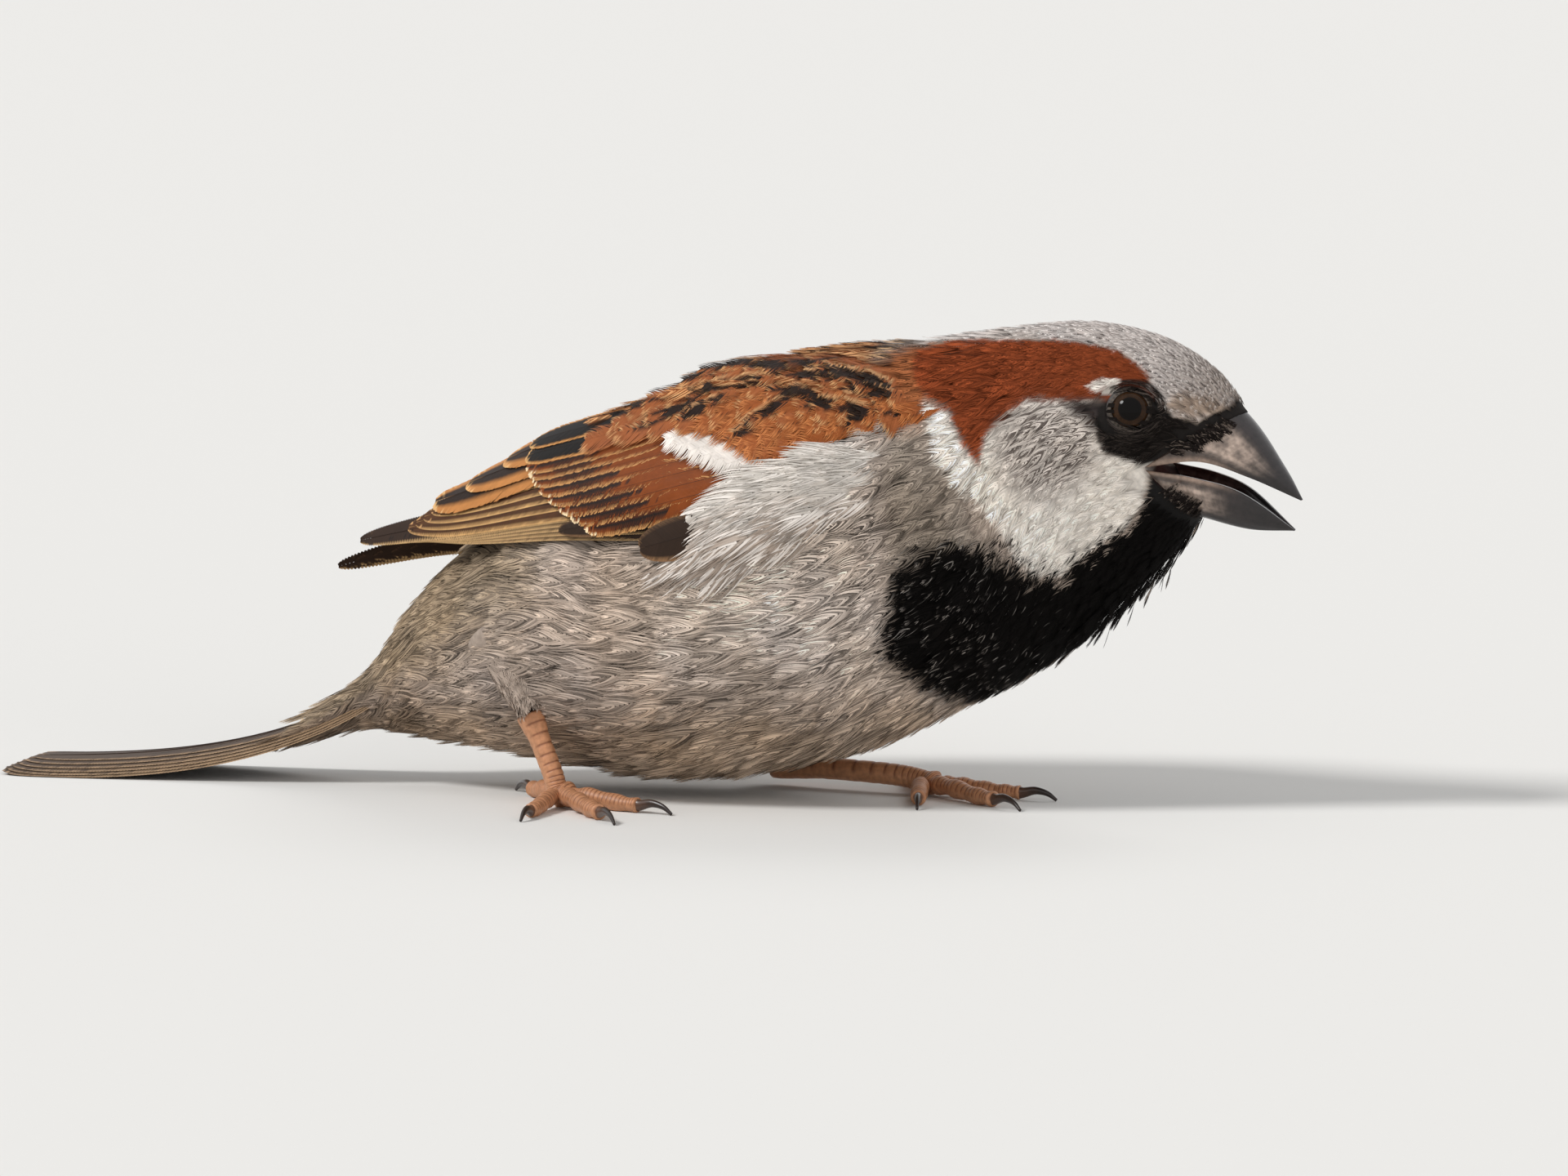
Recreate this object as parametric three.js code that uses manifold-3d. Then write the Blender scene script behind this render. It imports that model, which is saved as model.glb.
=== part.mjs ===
// A male house sparrow, life size, crouching low with its right foot back, its left foot forward
// and its tail laid on the ground. Millimetres, +X towards the bill, +Y to the bird's left, +Z up.
// The origin is on the ground under the middle of the bird.
import * as THREE from "three";
import { ParametricGeometry } from "three/addons/geometries/ParametricGeometry.js";
import { mergeVertices } from "three/addons/utils/BufferGeometryUtils.js";
import Module from "manifold-3d";

const wasm = await Module();
wasm.setup();

// ---- Driving dimensions -------------------------------------------------------------------

const GAP = 0.3; // clearance between neighbouring pieces
const GROUND = 0; // every piece that rests does so at this height
const MIDDLE = [-4.0, -5.45]; // middle of the bird's plan, which is put over the origin

// The feathered body from the bill's root to the tail's root. Each station is a tilted section
// through a point on the back (top) and one under it (bottom); half is half its width, level is
// the height of its widest place as a share of the way up, and waist is how much of the width
// is drawn in beside the mouth.
const STATIONS = [
  { name: "bill root", top: [65.2, 45.0], bottom: [60.2, 33.4], half: 3.9, level: 0.46, waist: 0 },
  { name: "lores", top: [61.1, 49.5], bottom: [56.6, 28.4], half: 6.3, level: 0.58, waist: 0.17 },
  { name: "eye", top: [54.9, 52.9], bottom: [50.8, 22.7], half: 8.8, level: 0.56, waist: 0.12 },
  { name: "cheek", top: [46.4, 54.3], bottom: [45.0, 18.1], half: 11.3, level: 0.5, waist: 0 },
  { name: "nape", top: [37.2, 53.4], bottom: [38.4, 13.9], half: 14.2, level: 0.45, waist: 0 },
  { name: "neck", top: [27.5, 51.9], bottom: [31.0, 10.2], half: 17.2, level: 0.45, waist: 0 },
  { name: "shoulder", top: [17.0, 50.8], bottom: [21.5, 5.9], half: 19.6, level: 0.47, waist: 0 },
  { name: "breast", top: [6.0, 48.2], bottom: [10.0, 2.8], half: 20.8, level: 0.47, waist: 0 },
  { name: "belly", top: [-5.0, 43.4], bottom: [-1.5, 1.6], half: 20.2, level: 0.46, waist: 0 },
  { name: "loin", top: [-15.5, 36.6], bottom: [-13.0, 2.6], half: 17.4, level: 0.46, waist: 0 },
  { name: "rump", top: [-25.0, 28.6], bottom: [-24.0, 4.2], half: 12.4, level: 0.46, waist: 0 },
  { name: "vent", top: [-32.8, 20.4], bottom: [-32.2, 4.9], half: 7.8, level: 0.5, waist: 0 },
  { name: "tail root", top: [-38.0, 13.2], bottom: [-38.2, 5.8], half: 4.8, level: 0.55, waist: 0 },
];
const BODY_SIDES = 22;
const HEAD_END = 3.6; // station numbers where the body is parted
const NECK_END = 5.4;
const TRUNK_END = 9.6;
const BODY_RINGS = 34; // rings from end to end, shared out by length in stations

const EYE = { at: [53.6, 6.05, 45.6], radius: 2.5 };

// The bill, open by ten degrees. Each mandible runs from the gape to its tip between its cutting
// edge and its ridge, and half is half its width along the way.
const BILL = {
  gape: [54.9, 38.7],
  culmenRoot: [65.1, 45.1], // where the feathers end on the ridge above
  chinRoot: [60.2, 33.1], // and below
  upper: {
    edge: [[54.9, 38.9], [60.8, 39.6], [66.0, 37.9], [71.4, 35.6]],
    ridge: [[58.2, 50.0], [65.2, 44.5], [69.4, 38.9], [71.5, 35.3]],
    half: [5.2, 4.2, 2.5, 0.25],
  },
  lower: {
    edge: [[54.9, 38.5], [60.2, 37.7], [65.0, 36.1], [70.6, 32.1]],
    ridge: [[56.4, 34.0], [60.2, 33.0], [65.4, 31.9], [70.5, 31.6]],
    half: [4.9, 4.0, 2.3, 0.25],
  },
  rim: 0.65, // thickness of the cutting edges, inside which each mandible is a trough
  trough: 0.42, // depth of the trough as a share of the mandible's
};
const BILL_SIDES = 14;
const BILL_RINGS = 10;

// The folded wing: its leading edge runs low along the flank and its inner edge along the back,
// both from the shoulder to the tip, on the bird's left side.
const WING = {
  leading: [
    [32.5, 15.4, 35.8],
    [20, 20.0, 31.2],
    [6, 20.9, 28.4],
    [-9, 17.9, 28.0],
    [-24, 11.6, 27.8],
    [-37.6, 5.2, 27.0],
  ],
  inner: [
    [29.5, 11.0, 45.2],
    [17, 12.2, 46.6],
    [2, 11.4, 44.6],
    [-11, 9.0, 40.2],
    [-24, 7.0, 34.0],
    [-37.6, 4.8, 28.2],
  ],
  bulge: [1.6, 3.2, 3.0, 2.2, 1.2, 0.2],
  covertDepth: 1.3,
  flightDepth: 0.55,
  innerDepth: 0.7,
  pivot: [31, 17.6, 38],
};
const COVERT_END = [0.5, 0.66]; // how far back the coverts reach at the leading and inner edges
const PRIMARY_SHARE = 0.44; // the primaries' share of the folded wing's height, growing
const PRIMARY_GROWTH = [0.55, 0.92]; // to all of it over this stretch
const SECONDARY_END = 0.8;
const RIGHT_WING = { droop: 0, reach: 1 };
const LEFT_WING = { droop: 3.5, reach: 1.11 };

const TAIL = {
  root: [-30.5, 14.9],
  length: 52,
  startSlope: 41, // degrees below level at the root
  endSlope: 1.5,
  bend: 1.75, // how fast the slope is lost along the tail
  half: [4.4, 9.6], // half width at the root and the tip
  roof: [20, 5], // degrees that each side falls away at the root and the tip
  thick: [2.6, 1.1],
  notch: 1.6,
};

// The legs, by the bird's own sides. Angles are turned from straight ahead towards the left.
const FOOT = {
  toeStart: 2.75,
  knob: 2.25,
  toes: [
    { name: "hallux", turn: null, length: 6.6, radius: 1.02, joints: 2, claw: 6.0 },
    { name: "inner", turn: 34, length: 8.6, radius: 0.95, joints: 3, claw: 4.3 },
    { name: "middle", turn: 0, length: 12.4, radius: 1.0, joints: 4, claw: 5.0 },
    { name: "outer", turn: -32, length: 9.6, radius: 0.9, joints: 5, claw: 4.0 },
  ],
};
const LEGS = {
  right: { ankle: [-13.8, -15.2, 9.9], foot: [-10.0, -16.4, 1.6], heading: -52, hallux: 180 },
  left: { ankle: [5.2, 12.0, 2.3], foot: [24.0, 8.0, 1.6], heading: -38, hallux: 206 },
};
const THIGHS = {
  right: { from: [-18.5, -11.6, 17.5], to: [-14.3, -14.9, 11.6], radii: [4.6, 1.75] },
  left: { from: [9.8, 12.2, 12.0], to: [5.9, 12.0, 4.8], radii: [4.0, 1.8] },
};
const TARSUS_RADIUS = 1.05;

// ---- Materials ----------------------------------------------------------------------------

const paint = (color, roughness) =>
  new THREE.MeshStandardMaterial({ color, roughness, metalness: 0 });
const FINISH = {
  head: paint(0x8a6a58, 0.85),
  neck: paint(0xb9aca0, 0.85),
  breast: paint(0xa89f96, 0.85),
  rump: paint(0x9a8f84, 0.85),
  coverts: paint(0x9b5a34, 0.8),
  flight: paint(0x6b4a33, 0.7),
  tail: paint(0x54453a, 0.7),
  bill: paint(0x2c2726, 0.35),
  leg: paint(0x96583a, 0.5),
  claw: paint(0x3a2a24, 0.3),
  eye: paint(0x1a0f0a, 0.05),
};

// ---- Geometry helpers ---------------------------------------------------------------------

const radians = THREE.MathUtils.degToRad;
const mix = THREE.MathUtils.lerp;
const smooth = (x) => THREE.MathUtils.smoothstep(x, 0, 1);
const vector = (p) => new THREE.Vector3(...p);
const inProfile = ([x, z]) => new THREE.Vector3(x, 0, z);
const curveThrough = (points) => new THREE.CatmullRomCurve3(points, false, "catmullrom", 0.5);

// A closed skin over rings. ringPoint(i, a, out) puts the point of ring i at share a of the way
// round into out; the two ends are closed by fans to the middle of their rings.
function skinOver(rings, sides, ringPoint) {
  const middles = [0, rings - 1].map((i) => {
    const middle = new THREE.Vector3();
    const point = new THREE.Vector3();
    for (let j = 0; j < sides; j++) {
      ringPoint(i, j / sides, point);
      middle.addScaledVector(point, 1 / sides);
    }
    return middle;
  });
  const place = (u, v, out) => {
    const ring = Math.round(v * (rings + 1)) - 1;
    if (ring < 0) out.copy(middles[0]);
    else if (ring >= rings) out.copy(middles[1]);
    else ringPoint(ring, u % 1, out);
  };
  return new ParametricGeometry(place, sides, rings + 1);
}

// Splits a ring of points between an outer face (1) and an inner face (-1): gives the face of the
// point at share a of the way round, and how far across that face it lies, both edges included.
function faceAt(a, sides) {
  const point = Math.round(a * sides);
  const last = sides / 2 - 1;
  return point <= last ? [1, point / last] : [-1, (sides - 1 - point) / last];
}

// A closed mesh as a solid, turned the right way out if its rings run the other way round.
function solid(geometry) {
  const bare = geometry.clone();
  bare.deleteAttribute("normal");
  bare.deleteAttribute("uv");
  const merged = mergeVertices(bare, 1e-3);
  const triVerts = new Uint32Array(merged.index.array);
  const vertProperties = merged.attributes.position.array;
  const kept = [];
  for (let i = 0; i < triVerts.length; i += 3) {
    const [a, b, c] = triVerts.subarray(i, i + 3);
    if (a !== b && b !== c && c !== a) kept.push(a, b, c);
  }
  const build = (order) =>
    new wasm.Manifold(new wasm.Mesh({ numProp: 3, vertProperties, triVerts: order }));
  const first = build(new Uint32Array(kept));
  if (first.volume() > 0) return first;
  for (let i = 0; i < kept.length; i += 3) [kept[i], kept[i + 1]] = [kept[i + 1], kept[i]];
  return build(new Uint32Array(kept));
}

// The mesh of a solid, under its node's name.
function meshOf(made, name, material) {
  const { vertProperties, triVerts, numProp } = made.getMesh();
  const positions = new Float32Array((vertProperties.length / numProp) * 3);
  for (let i = 0; i < positions.length / 3; i++)
    positions.set(vertProperties.subarray(i * numProp, i * numProp + 3), i * 3);
  const geometry = new THREE.BufferGeometry();
  geometry.setAttribute("position", new THREE.BufferAttribute(positions, 3));
  geometry.setIndex(new THREE.BufferAttribute(triVerts, 1));
  geometry.translate(-MIDDLE[0], -MIDDLE[1], 0);
  const mesh = new THREE.Mesh(geometry, material);
  mesh.name = name;
  return mesh;
}

// A round rod along a curve: radiusAt(s) gives its half width and half height. Whatever would
// hang below the ground is flattened there, which makes the small flats that it rests on.
function rod(curve, radiusAt, sides, rings, grow = 0) {
  const up = new THREE.Vector3(0, 0, 1);
  const across = new THREE.Vector3();
  const over = new THREE.Vector3();
  const place = (i, a, out) => {
    const s = i / (rings - 1);
    const along = curve.getTangent(s);
    across.crossVectors(up, along).normalize();
    over.crossVectors(along, across);
    const [wide, high] = radiusAt(s);
    const turn = a * 2 * Math.PI;
    curve.getPoint(s, out);
    out.addScaledVector(across, (wide + grow) * Math.cos(turn));
    out.addScaledVector(over, (high + grow) * Math.sin(turn));
    out.z = Math.max(out.z, GROUND - grow);
  };
  return solid(skinOver(rings, sides, place));
}

// ---- Body ---------------------------------------------------------------------------------

const backLine = curveThrough(STATIONS.map((s) => inProfile(s.top)));
const bellyLine = curveThrough(STATIONS.map((s) => inProfile(s.bottom)));
const girthLine = curveThrough(
  STATIONS.map((s) => new THREE.Vector3(s.half, s.level, s.waist)),
);

// The point of the body's surface at a station number and a turn round it: 0 is the back,
// a quarter the bird's left side, and a half the belly. Each half section is half an ellipse.
function bodyPoint(station, turn, out) {
  const t = station / (STATIONS.length - 1);
  const top = backLine.getPoint(t);
  const bottom = bellyLine.getPoint(t);
  const girth = girthLine.getPoint(t);
  const angle = turn * 2 * Math.PI;
  const rise = Math.cos(angle);
  const middle = bottom.clone().lerp(top, girth.y);
  const reach = (rise > 0 ? top : bottom).clone().sub(middle);
  out.copy(middle).addScaledVector(reach, Math.abs(rise));
  const mouth = (out.z - bottom.z) / (top.z - bottom.z) - 0.5;
  out.y = girth.x * Math.sin(angle) * (1 - girth.z * Math.exp(-((mouth / 0.18) ** 2)));
}

// The stretch of the body between two station numbers.
function bodyLength(from, to) {
  const rings = Math.round((BODY_RINGS * (to - from)) / (STATIONS.length - 1)) + 1;
  const place = (i, a, out) => bodyPoint(mix(from, to, i / (rings - 1)), a, out);
  return solid(skinOver(rings, BODY_SIDES, place));
}

// A flat prism across the bird, from an outline in profile.
function slab(outline, half) {
  const shape = new THREE.Shape(outline.map(([x, z]) => new THREE.Vector2(x, z)));
  const geometry = new THREE.ExtrudeGeometry(shape, { depth: 2 * half, bevelEnabled: false });
  geometry.translate(0, 0, -half);
  geometry.rotateX(Math.PI / 2);
  return solid(geometry.index ? geometry : mergeVertices(geometry));
}

// ---- Eyes and bill ------------------------------------------------------------------------

function eyeBall(side, grow = 0) {
  const geometry = new THREE.SphereGeometry(EYE.radius + grow, 14, 10);
  geometry.translate(EYE.at[0], side * EYE.at[1], EYE.at[2]);
  return solid(geometry);
}

// One mandible. The first half of each ring is its outside, over the ridge, and the second half
// comes back along the trough inside the rims.
function mandible({ edge, ridge, half }) {
  const edgeLine = curveThrough(edge.map(inProfile));
  const ridgeLine = curveThrough(ridge.map(inProfile));
  const halfLine = curveThrough(half.map((h) => new THREE.Vector3(h, 0, 0)));
  const place = (i, a, out) => {
    const s = i / (BILL_RINGS - 1);
    const width = halfLine.getPoint(s).x;
    const rim = Math.min(BILL.rim, width * 0.5);
    const [face, across] = faceAt(a, BILL_SIDES);
    const turn = across * Math.PI;
    const rise = Math.sin(turn) * (face < 0 ? BILL.trough : 1);
    edgeLine.getPoint(s, out);
    out.lerp(ridgeLine.getPoint(s), rise);
    out.y = (face < 0 ? width - rim : width) * Math.cos(turn);
  };
  return solid(skinOver(BILL_RINGS, BILL_SIDES, place));
}

// The space in front of the feather edge, which runs from the culmen back to the gape and on to
// the chin, moved forwards by shift.
function billSpace(shift) {
  const edge = [[BILL.culmenRoot[0], 54], BILL.culmenRoot, BILL.gape, BILL.chinRoot];
  const moved = [...edge, [BILL.chinRoot[0], 24]].map(([x, z]) => [x + shift, z]);
  return slab([...moved, [80, 24], [80, 54]], 12);
}

// ---- Wings --------------------------------------------------------------------------------

// A wing's surface on one side of the bird, as a function of u along it and v up it.
function wingSurface(side, { droop, reach }) {
  const pivot = vector(WING.pivot);
  const fall = new THREE.Matrix4().makeRotationY(-radians(droop));
  const turned = (p) => vector(p).sub(pivot).applyMatrix4(fall).multiply(
    new THREE.Vector3(reach, 1, 1),
  ).add(pivot);
  const leading = curveThrough(WING.leading.map(turned));
  const inner = curveThrough(WING.inner.map(turned));
  const bulge = curveThrough(WING.bulge.map((b) => new THREE.Vector3(b, 0, 0)));
  const centre = (u, v) => {
    const low = leading.getPoint(u);
    const high = inner.getPoint(u);
    const out = new THREE.Vector3(0, high.z - low.z, low.y - high.y).normalize();
    return low.lerp(high, v).addScaledVector(out, bulge.getPoint(u).x * 4 * v * (1 - v));
  };
  const normal = (u, v) => {
    const step = 0.01;
    const rise = centre(u, v + step).sub(centre(u, v - step));
    return new THREE.Vector3(0, rise.z, -rise.y).normalize();
  };
  return (u, v, offset, out) => {
    out.copy(centre(u, v)).addScaledVector(normal(u, v), offset);
    out.y *= side;
  };
}

// A plate on a wing. uAt and vAt turn the plate's own shares along and up into the wing's, and it
// runs from inside to outside of the wing's surface, thinned at its two edges to the share rim.
function plate(surface, uAt, vAt, [inside, outside], [rings, columns], rim = 0.45) {
  const sides = 2 * (columns + 1);
  const place = (i, a, out) => {
    const along = i / (rings - 1);
    const [face, up] = faceAt(a, sides);
    const depth = mix(rim, 1, Math.sqrt(Math.min(up, 1 - up) * 2));
    const offset = (face > 0 ? outside : -inside) * depth;
    surface(uAt(along, up), vAt(along, up), offset, out);
  };
  return solid(skinOver(rings, sides, place));
}

const covertEnd = (v) => mix(COVERT_END[0], COVERT_END[1], v);

// The height of the line between primaries and secondaries, at share u along the wing.
function split(u) {
  const [start, end] = PRIMARY_GROWTH;
  return mix(PRIMARY_SHARE, 1, smooth((u - start) / (end - start)));
}

// One wing as its three plates of feathers, and the hollow that the body leaves for it.
function wing(side, stance) {
  const surface = wingSurface(side, stance);
  const { covertDepth, flightDepth, innerDepth } = WING;
  const share = GAP / 36;
  const rise = GAP / 16;
  const coverts = plate(
    surface, (a, b) => mix(share, covertEnd(b), a), (a, b) => b,
    [innerDepth, covertDepth], [12, 7],
  );
  const upperAlong = (a, b) => mix(covertEnd(mix(PRIMARY_SHARE, 1, b)) + share, SECONDARY_END, a);
  const secondaries = plate(
    surface, upperAlong, (a, b) => mix(split(upperAlong(a, b)) + rise, 1, b),
    [innerDepth, flightDepth], [9, 4],
  );
  const lowerAlong = (a, b) => mix(covertEnd(b * PRIMARY_SHARE) + share, 1, a);
  const primaries = plate(
    surface, lowerAlong, (a, b) => b * (split(lowerAlong(a, b)) - rise),
    [innerDepth, flightDepth], [16, 4],
  );
  const hollow = plate(
    surface, (a) => a, (a, b) => mix(-0.06, 1.05, b),
    [innerDepth + 1.3 * GAP, 9], [18, 8], 0.8,
  );
  return { coverts, secondaries, primaries, hollow };
}

// ---- Tail ---------------------------------------------------------------------------------

// The tail's slope eases from the root to the tip, where it lies on the ground. Its middle line
// is summed up in short steps, and each side falls away from the ridge like a shallow roof.
function tail(grow = 0) {
  const rings = 14;
  const columns = 6;
  const slopeAt = (s) =>
    radians(mix(TAIL.endSlope, TAIL.startSlope, (1 - s) ** TAIL.bend));
  const steps = 120;
  const line = [inProfile(TAIL.root)];
  for (let i = 1; i <= steps; i++) {
    const slope = slopeAt((i - 0.5) / steps);
    const step = new THREE.Vector3(-Math.cos(slope), 0, -Math.sin(slope));
    line.push(line[i - 1].clone().addScaledVector(step, TAIL.length / steps));
  }
  const middle = curveThrough(line);
  const sides = 2 * (columns + 1);
  const place = (i, a, out) => {
    const [face, across] = faceAt(a, sides);
    const side = mix(-1, 1, across);
    const end = 1 - (TAIL.notch / TAIL.length) * (1 - Math.abs(side));
    const s = Math.min((i / (rings - 1)) * end, 1);
    const slope = slopeAt(s);
    const normal = new THREE.Vector3(-Math.sin(slope), 0, Math.cos(slope));
    const half = mix(TAIL.half[0], TAIL.half[1], s ** 0.7) + grow;
    const fall = half * Math.sin(radians(mix(TAIL.roof[0], TAIL.roof[1], s))) * side ** 2;
    const thick = mix(TAIL.thick[0], TAIL.thick[1], s) * mix(0.5, 1, 1 - side ** 2) + 2 * grow;
    middle.getPoint(s, out);
    out.addScaledVector(normal, face * thick / 2 - fall);
    out.y = half * side;
    out.z = Math.max(out.z, GROUND);
  };
  return solid(skinOver(rings, sides, place));
}

// ---- Legs ---------------------------------------------------------------------------------

function thigh({ from, to, radii }, grow = 0) {
  const along = new THREE.LineCurve3(vector(from), vector(to));
  const radiusAt = (s) => {
    const radius = mix(radii[0], radii[1], s ** 0.8);
    return [radius, radius];
  };
  return rod(along, radiusAt, 12, 5, grow);
}

// The bare leg: a knobbly ankle, a slender shank, and the ball of the foot on the ground.
function tarsus({ ankle, foot }, grow = 0) {
  const ball = vector(foot);
  const top = vector(ankle);
  const before = ball.clone().lerp(top, 0.25);
  before.z += 0.3;
  const after = ball.clone().addScaledVector(ball.clone().sub(top).setZ(0).normalize(), 1.6);
  after.z = 1.0;
  const radiusAt = (s) => {
    const knob = smooth((s - 0.72) / 0.16) * (1 - 0.6 * smooth((s - 0.88) / 0.12));
    const heel = 0.35 * (1 - smooth(s / 0.16));
    const radius = TARSUS_RADIUS + heel;
    return [mix(radius, FOOT.knob * 0.82, knob), mix(radius * 1.15, 1.7, knob)];
  };
  return rod(curveThrough([top, before, ball, after]), radiusAt, 8, 13, grow);
}

// One toe, with a swelling at each joint, and the hooked claw that ends it.
function toe({ foot, heading, hallux }, { turn, length, radius, joints, claw }, side) {
  const angle = radians(heading + side * (turn ?? hallux));
  const ahead = new THREE.Vector3(Math.cos(angle), Math.sin(angle), 0);
  const start = vector(foot).addScaledVector(ahead, FOOT.toeStart);
  const at = (far, height) => start.clone().addScaledVector(ahead, far).setZ(height);
  const line = curveThrough([
    at(0, 1.35), at(length * 0.3, radius * 1.35), at(length * 0.7, radius * 0.95),
    at(length, radius * 0.9),
  ]);
  const radiusAt = (s) => {
    const swell = 1 + 0.1 * Math.cos(2 * Math.PI * joints * s);
    const size = radius * swell * mix(0.84, 1, smooth(s / 0.3)) * mix(1, 0.8, s * s);
    return [size, size];
  };
  const shaft = rod(line, radiusAt, 8, 3 * joints + 1);
  const from = length + GAP;
  const hook = curveThrough([
    at(from, radius * 0.95), at(from + claw * 0.35, radius * 1.25),
    at(from + claw * 0.72, radius * 0.95), at(from + claw, 0.18),
  ]);
  const clawRadius = (s) => [mix(0.56, 0.16, s), mix(0.78, 0.17, s ** 0.8)];
  return { shaft, claw: rod(hook, clawRadius, 6, 7) };
}

// ---- Assembly -----------------------------------------------------------------------------

const sparrow = new THREE.Group();
const add = (made, name, material) => sparrow.add(meshOf(made, name, material));

const wings = { right: wing(-1, RIGHT_WING), left: wing(1, LEFT_WING) };
const gapInStations = GAP / 10;
const hollows = [wings.right.hollow, wings.left.hollow];
const carve = (made, tools) => tools.reduce((rest, tool) => rest.subtract(tool), made);

const head = carve(bodyLength(0, HEAD_END), [
  billSpace(0), eyeBall(-1, GAP), eyeBall(1, GAP),
]);
add(head, "head", FINISH.head);
add(carve(bodyLength(HEAD_END + gapInStations, NECK_END), hollows), "neck", FINISH.neck);
const thighRoom = [thigh(THIGHS.right, GAP), thigh(THIGHS.left, GAP)];
const legRoom = [...thighRoom, tarsus(LEGS.right, GAP), tarsus(LEGS.left, GAP)];
const trunk = bodyLength(NECK_END + gapInStations, TRUNK_END);
add(carve(trunk, [...hollows, ...legRoom]), "trunk", FINISH.breast);
const rump = bodyLength(TRUNK_END + gapInStations, STATIONS.length - 1);
add(carve(rump, [...hollows, tail(GAP), thighRoom[0]]), "rump", FINISH.rump);

add(eyeBall(-1), "eye_right", FINISH.eye);
add(eyeBall(1), "eye_left", FINISH.eye);
add(mandible(BILL.upper).intersect(billSpace(GAP)), "bill_upper", FINISH.bill);
add(mandible(BILL.lower).intersect(billSpace(GAP)), "bill_lower", FINISH.bill);

for (const [side, made] of Object.entries(wings)) {
  add(made.coverts, `wing_${side}_coverts`, FINISH.coverts);
  add(made.secondaries, `wing_${side}_secondaries`, FINISH.flight);
  add(made.primaries, `wing_${side}_primaries`, FINISH.flight);
}
add(tail(), "tail", FINISH.tail);

for (const [side, leg] of Object.entries(LEGS)) {
  add(thigh(THIGHS[side]), `thigh_${side}`, FINISH.breast);
  add(tarsus(leg), `tarsus_${side}`, FINISH.leg);
  for (const digit of FOOT.toes) {
    const { shaft, claw } = toe(leg, digit, side === "left" ? -1 : 1);
    add(shaft, `toe_${side}_${digit.name}`, FINISH.leg);
    add(claw, `claw_${side}_${digit.name}`, FINISH.claw);
  }
}

export default sparrow;
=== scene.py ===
"""A male house sparrow at life size: skin, plumage, eyes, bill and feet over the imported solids.

The bird is laid out in millimetres in its own frame (+X towards the bill, +Y to its left, +Z up,
the ground at zero) and put over the model's origin as its meshes are made.
"""

import logging
import math
from dataclasses import dataclass, field, replace
from enum import Enum
from typing import Callable, Sequence

import bpy
import numpy as np
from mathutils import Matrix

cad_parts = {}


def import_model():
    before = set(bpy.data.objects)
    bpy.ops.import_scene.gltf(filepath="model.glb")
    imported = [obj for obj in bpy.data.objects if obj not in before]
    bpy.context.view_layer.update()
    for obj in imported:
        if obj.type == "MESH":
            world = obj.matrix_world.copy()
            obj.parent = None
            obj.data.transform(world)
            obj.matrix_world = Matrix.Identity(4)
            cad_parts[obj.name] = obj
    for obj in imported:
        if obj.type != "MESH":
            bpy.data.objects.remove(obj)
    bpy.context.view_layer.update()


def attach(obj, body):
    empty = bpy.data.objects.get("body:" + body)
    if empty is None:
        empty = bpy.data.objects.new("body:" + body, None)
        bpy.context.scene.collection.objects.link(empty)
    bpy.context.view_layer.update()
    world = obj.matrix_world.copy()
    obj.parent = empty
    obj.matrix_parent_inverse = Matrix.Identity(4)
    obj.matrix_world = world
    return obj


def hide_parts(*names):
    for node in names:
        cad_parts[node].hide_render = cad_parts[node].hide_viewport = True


LOG = logging.getLogger("sparrow")
MM = 0.001
MIDDLE = np.array([-4.0, -5.45, 0.0])  # middle of the bird's plan, put over the origin
COAT_LIMIT = 180_000  # triangles in one piece of the coat
BAKE_MAP = "OFBake"
PATCH = 0.003  # share of the bake map that one small feather takes
FEW = 40  # feathers of a piece that each get a strip of the bake map instead
Array = np.ndarray
Part = tuple[Array, Array, Array]  # points, triangles and a colour for each point
Span = tuple[float, float, int]  # start, end and count


class Side(Enum):
    """A side of the bird, by the sign of Y."""

    RIGHT = -1
    LEFT = 1


class Slot(Enum):
    """Material slots of the record."""

    HEAD = "head_feathers"
    NECK = "neck_feathers"
    BODY = "body_feathers"
    RUMP = "rump_feathers"
    COVERTS = "wing_coverts"
    FLIGHT = "flight_feathers"
    TAIL = "tail_feathers"
    BILL = "bill_horn"
    EYE = "eye"
    LEG = "leg_skin"
    CLAW = "claw_horn"


# ---- Finishes ----


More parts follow.
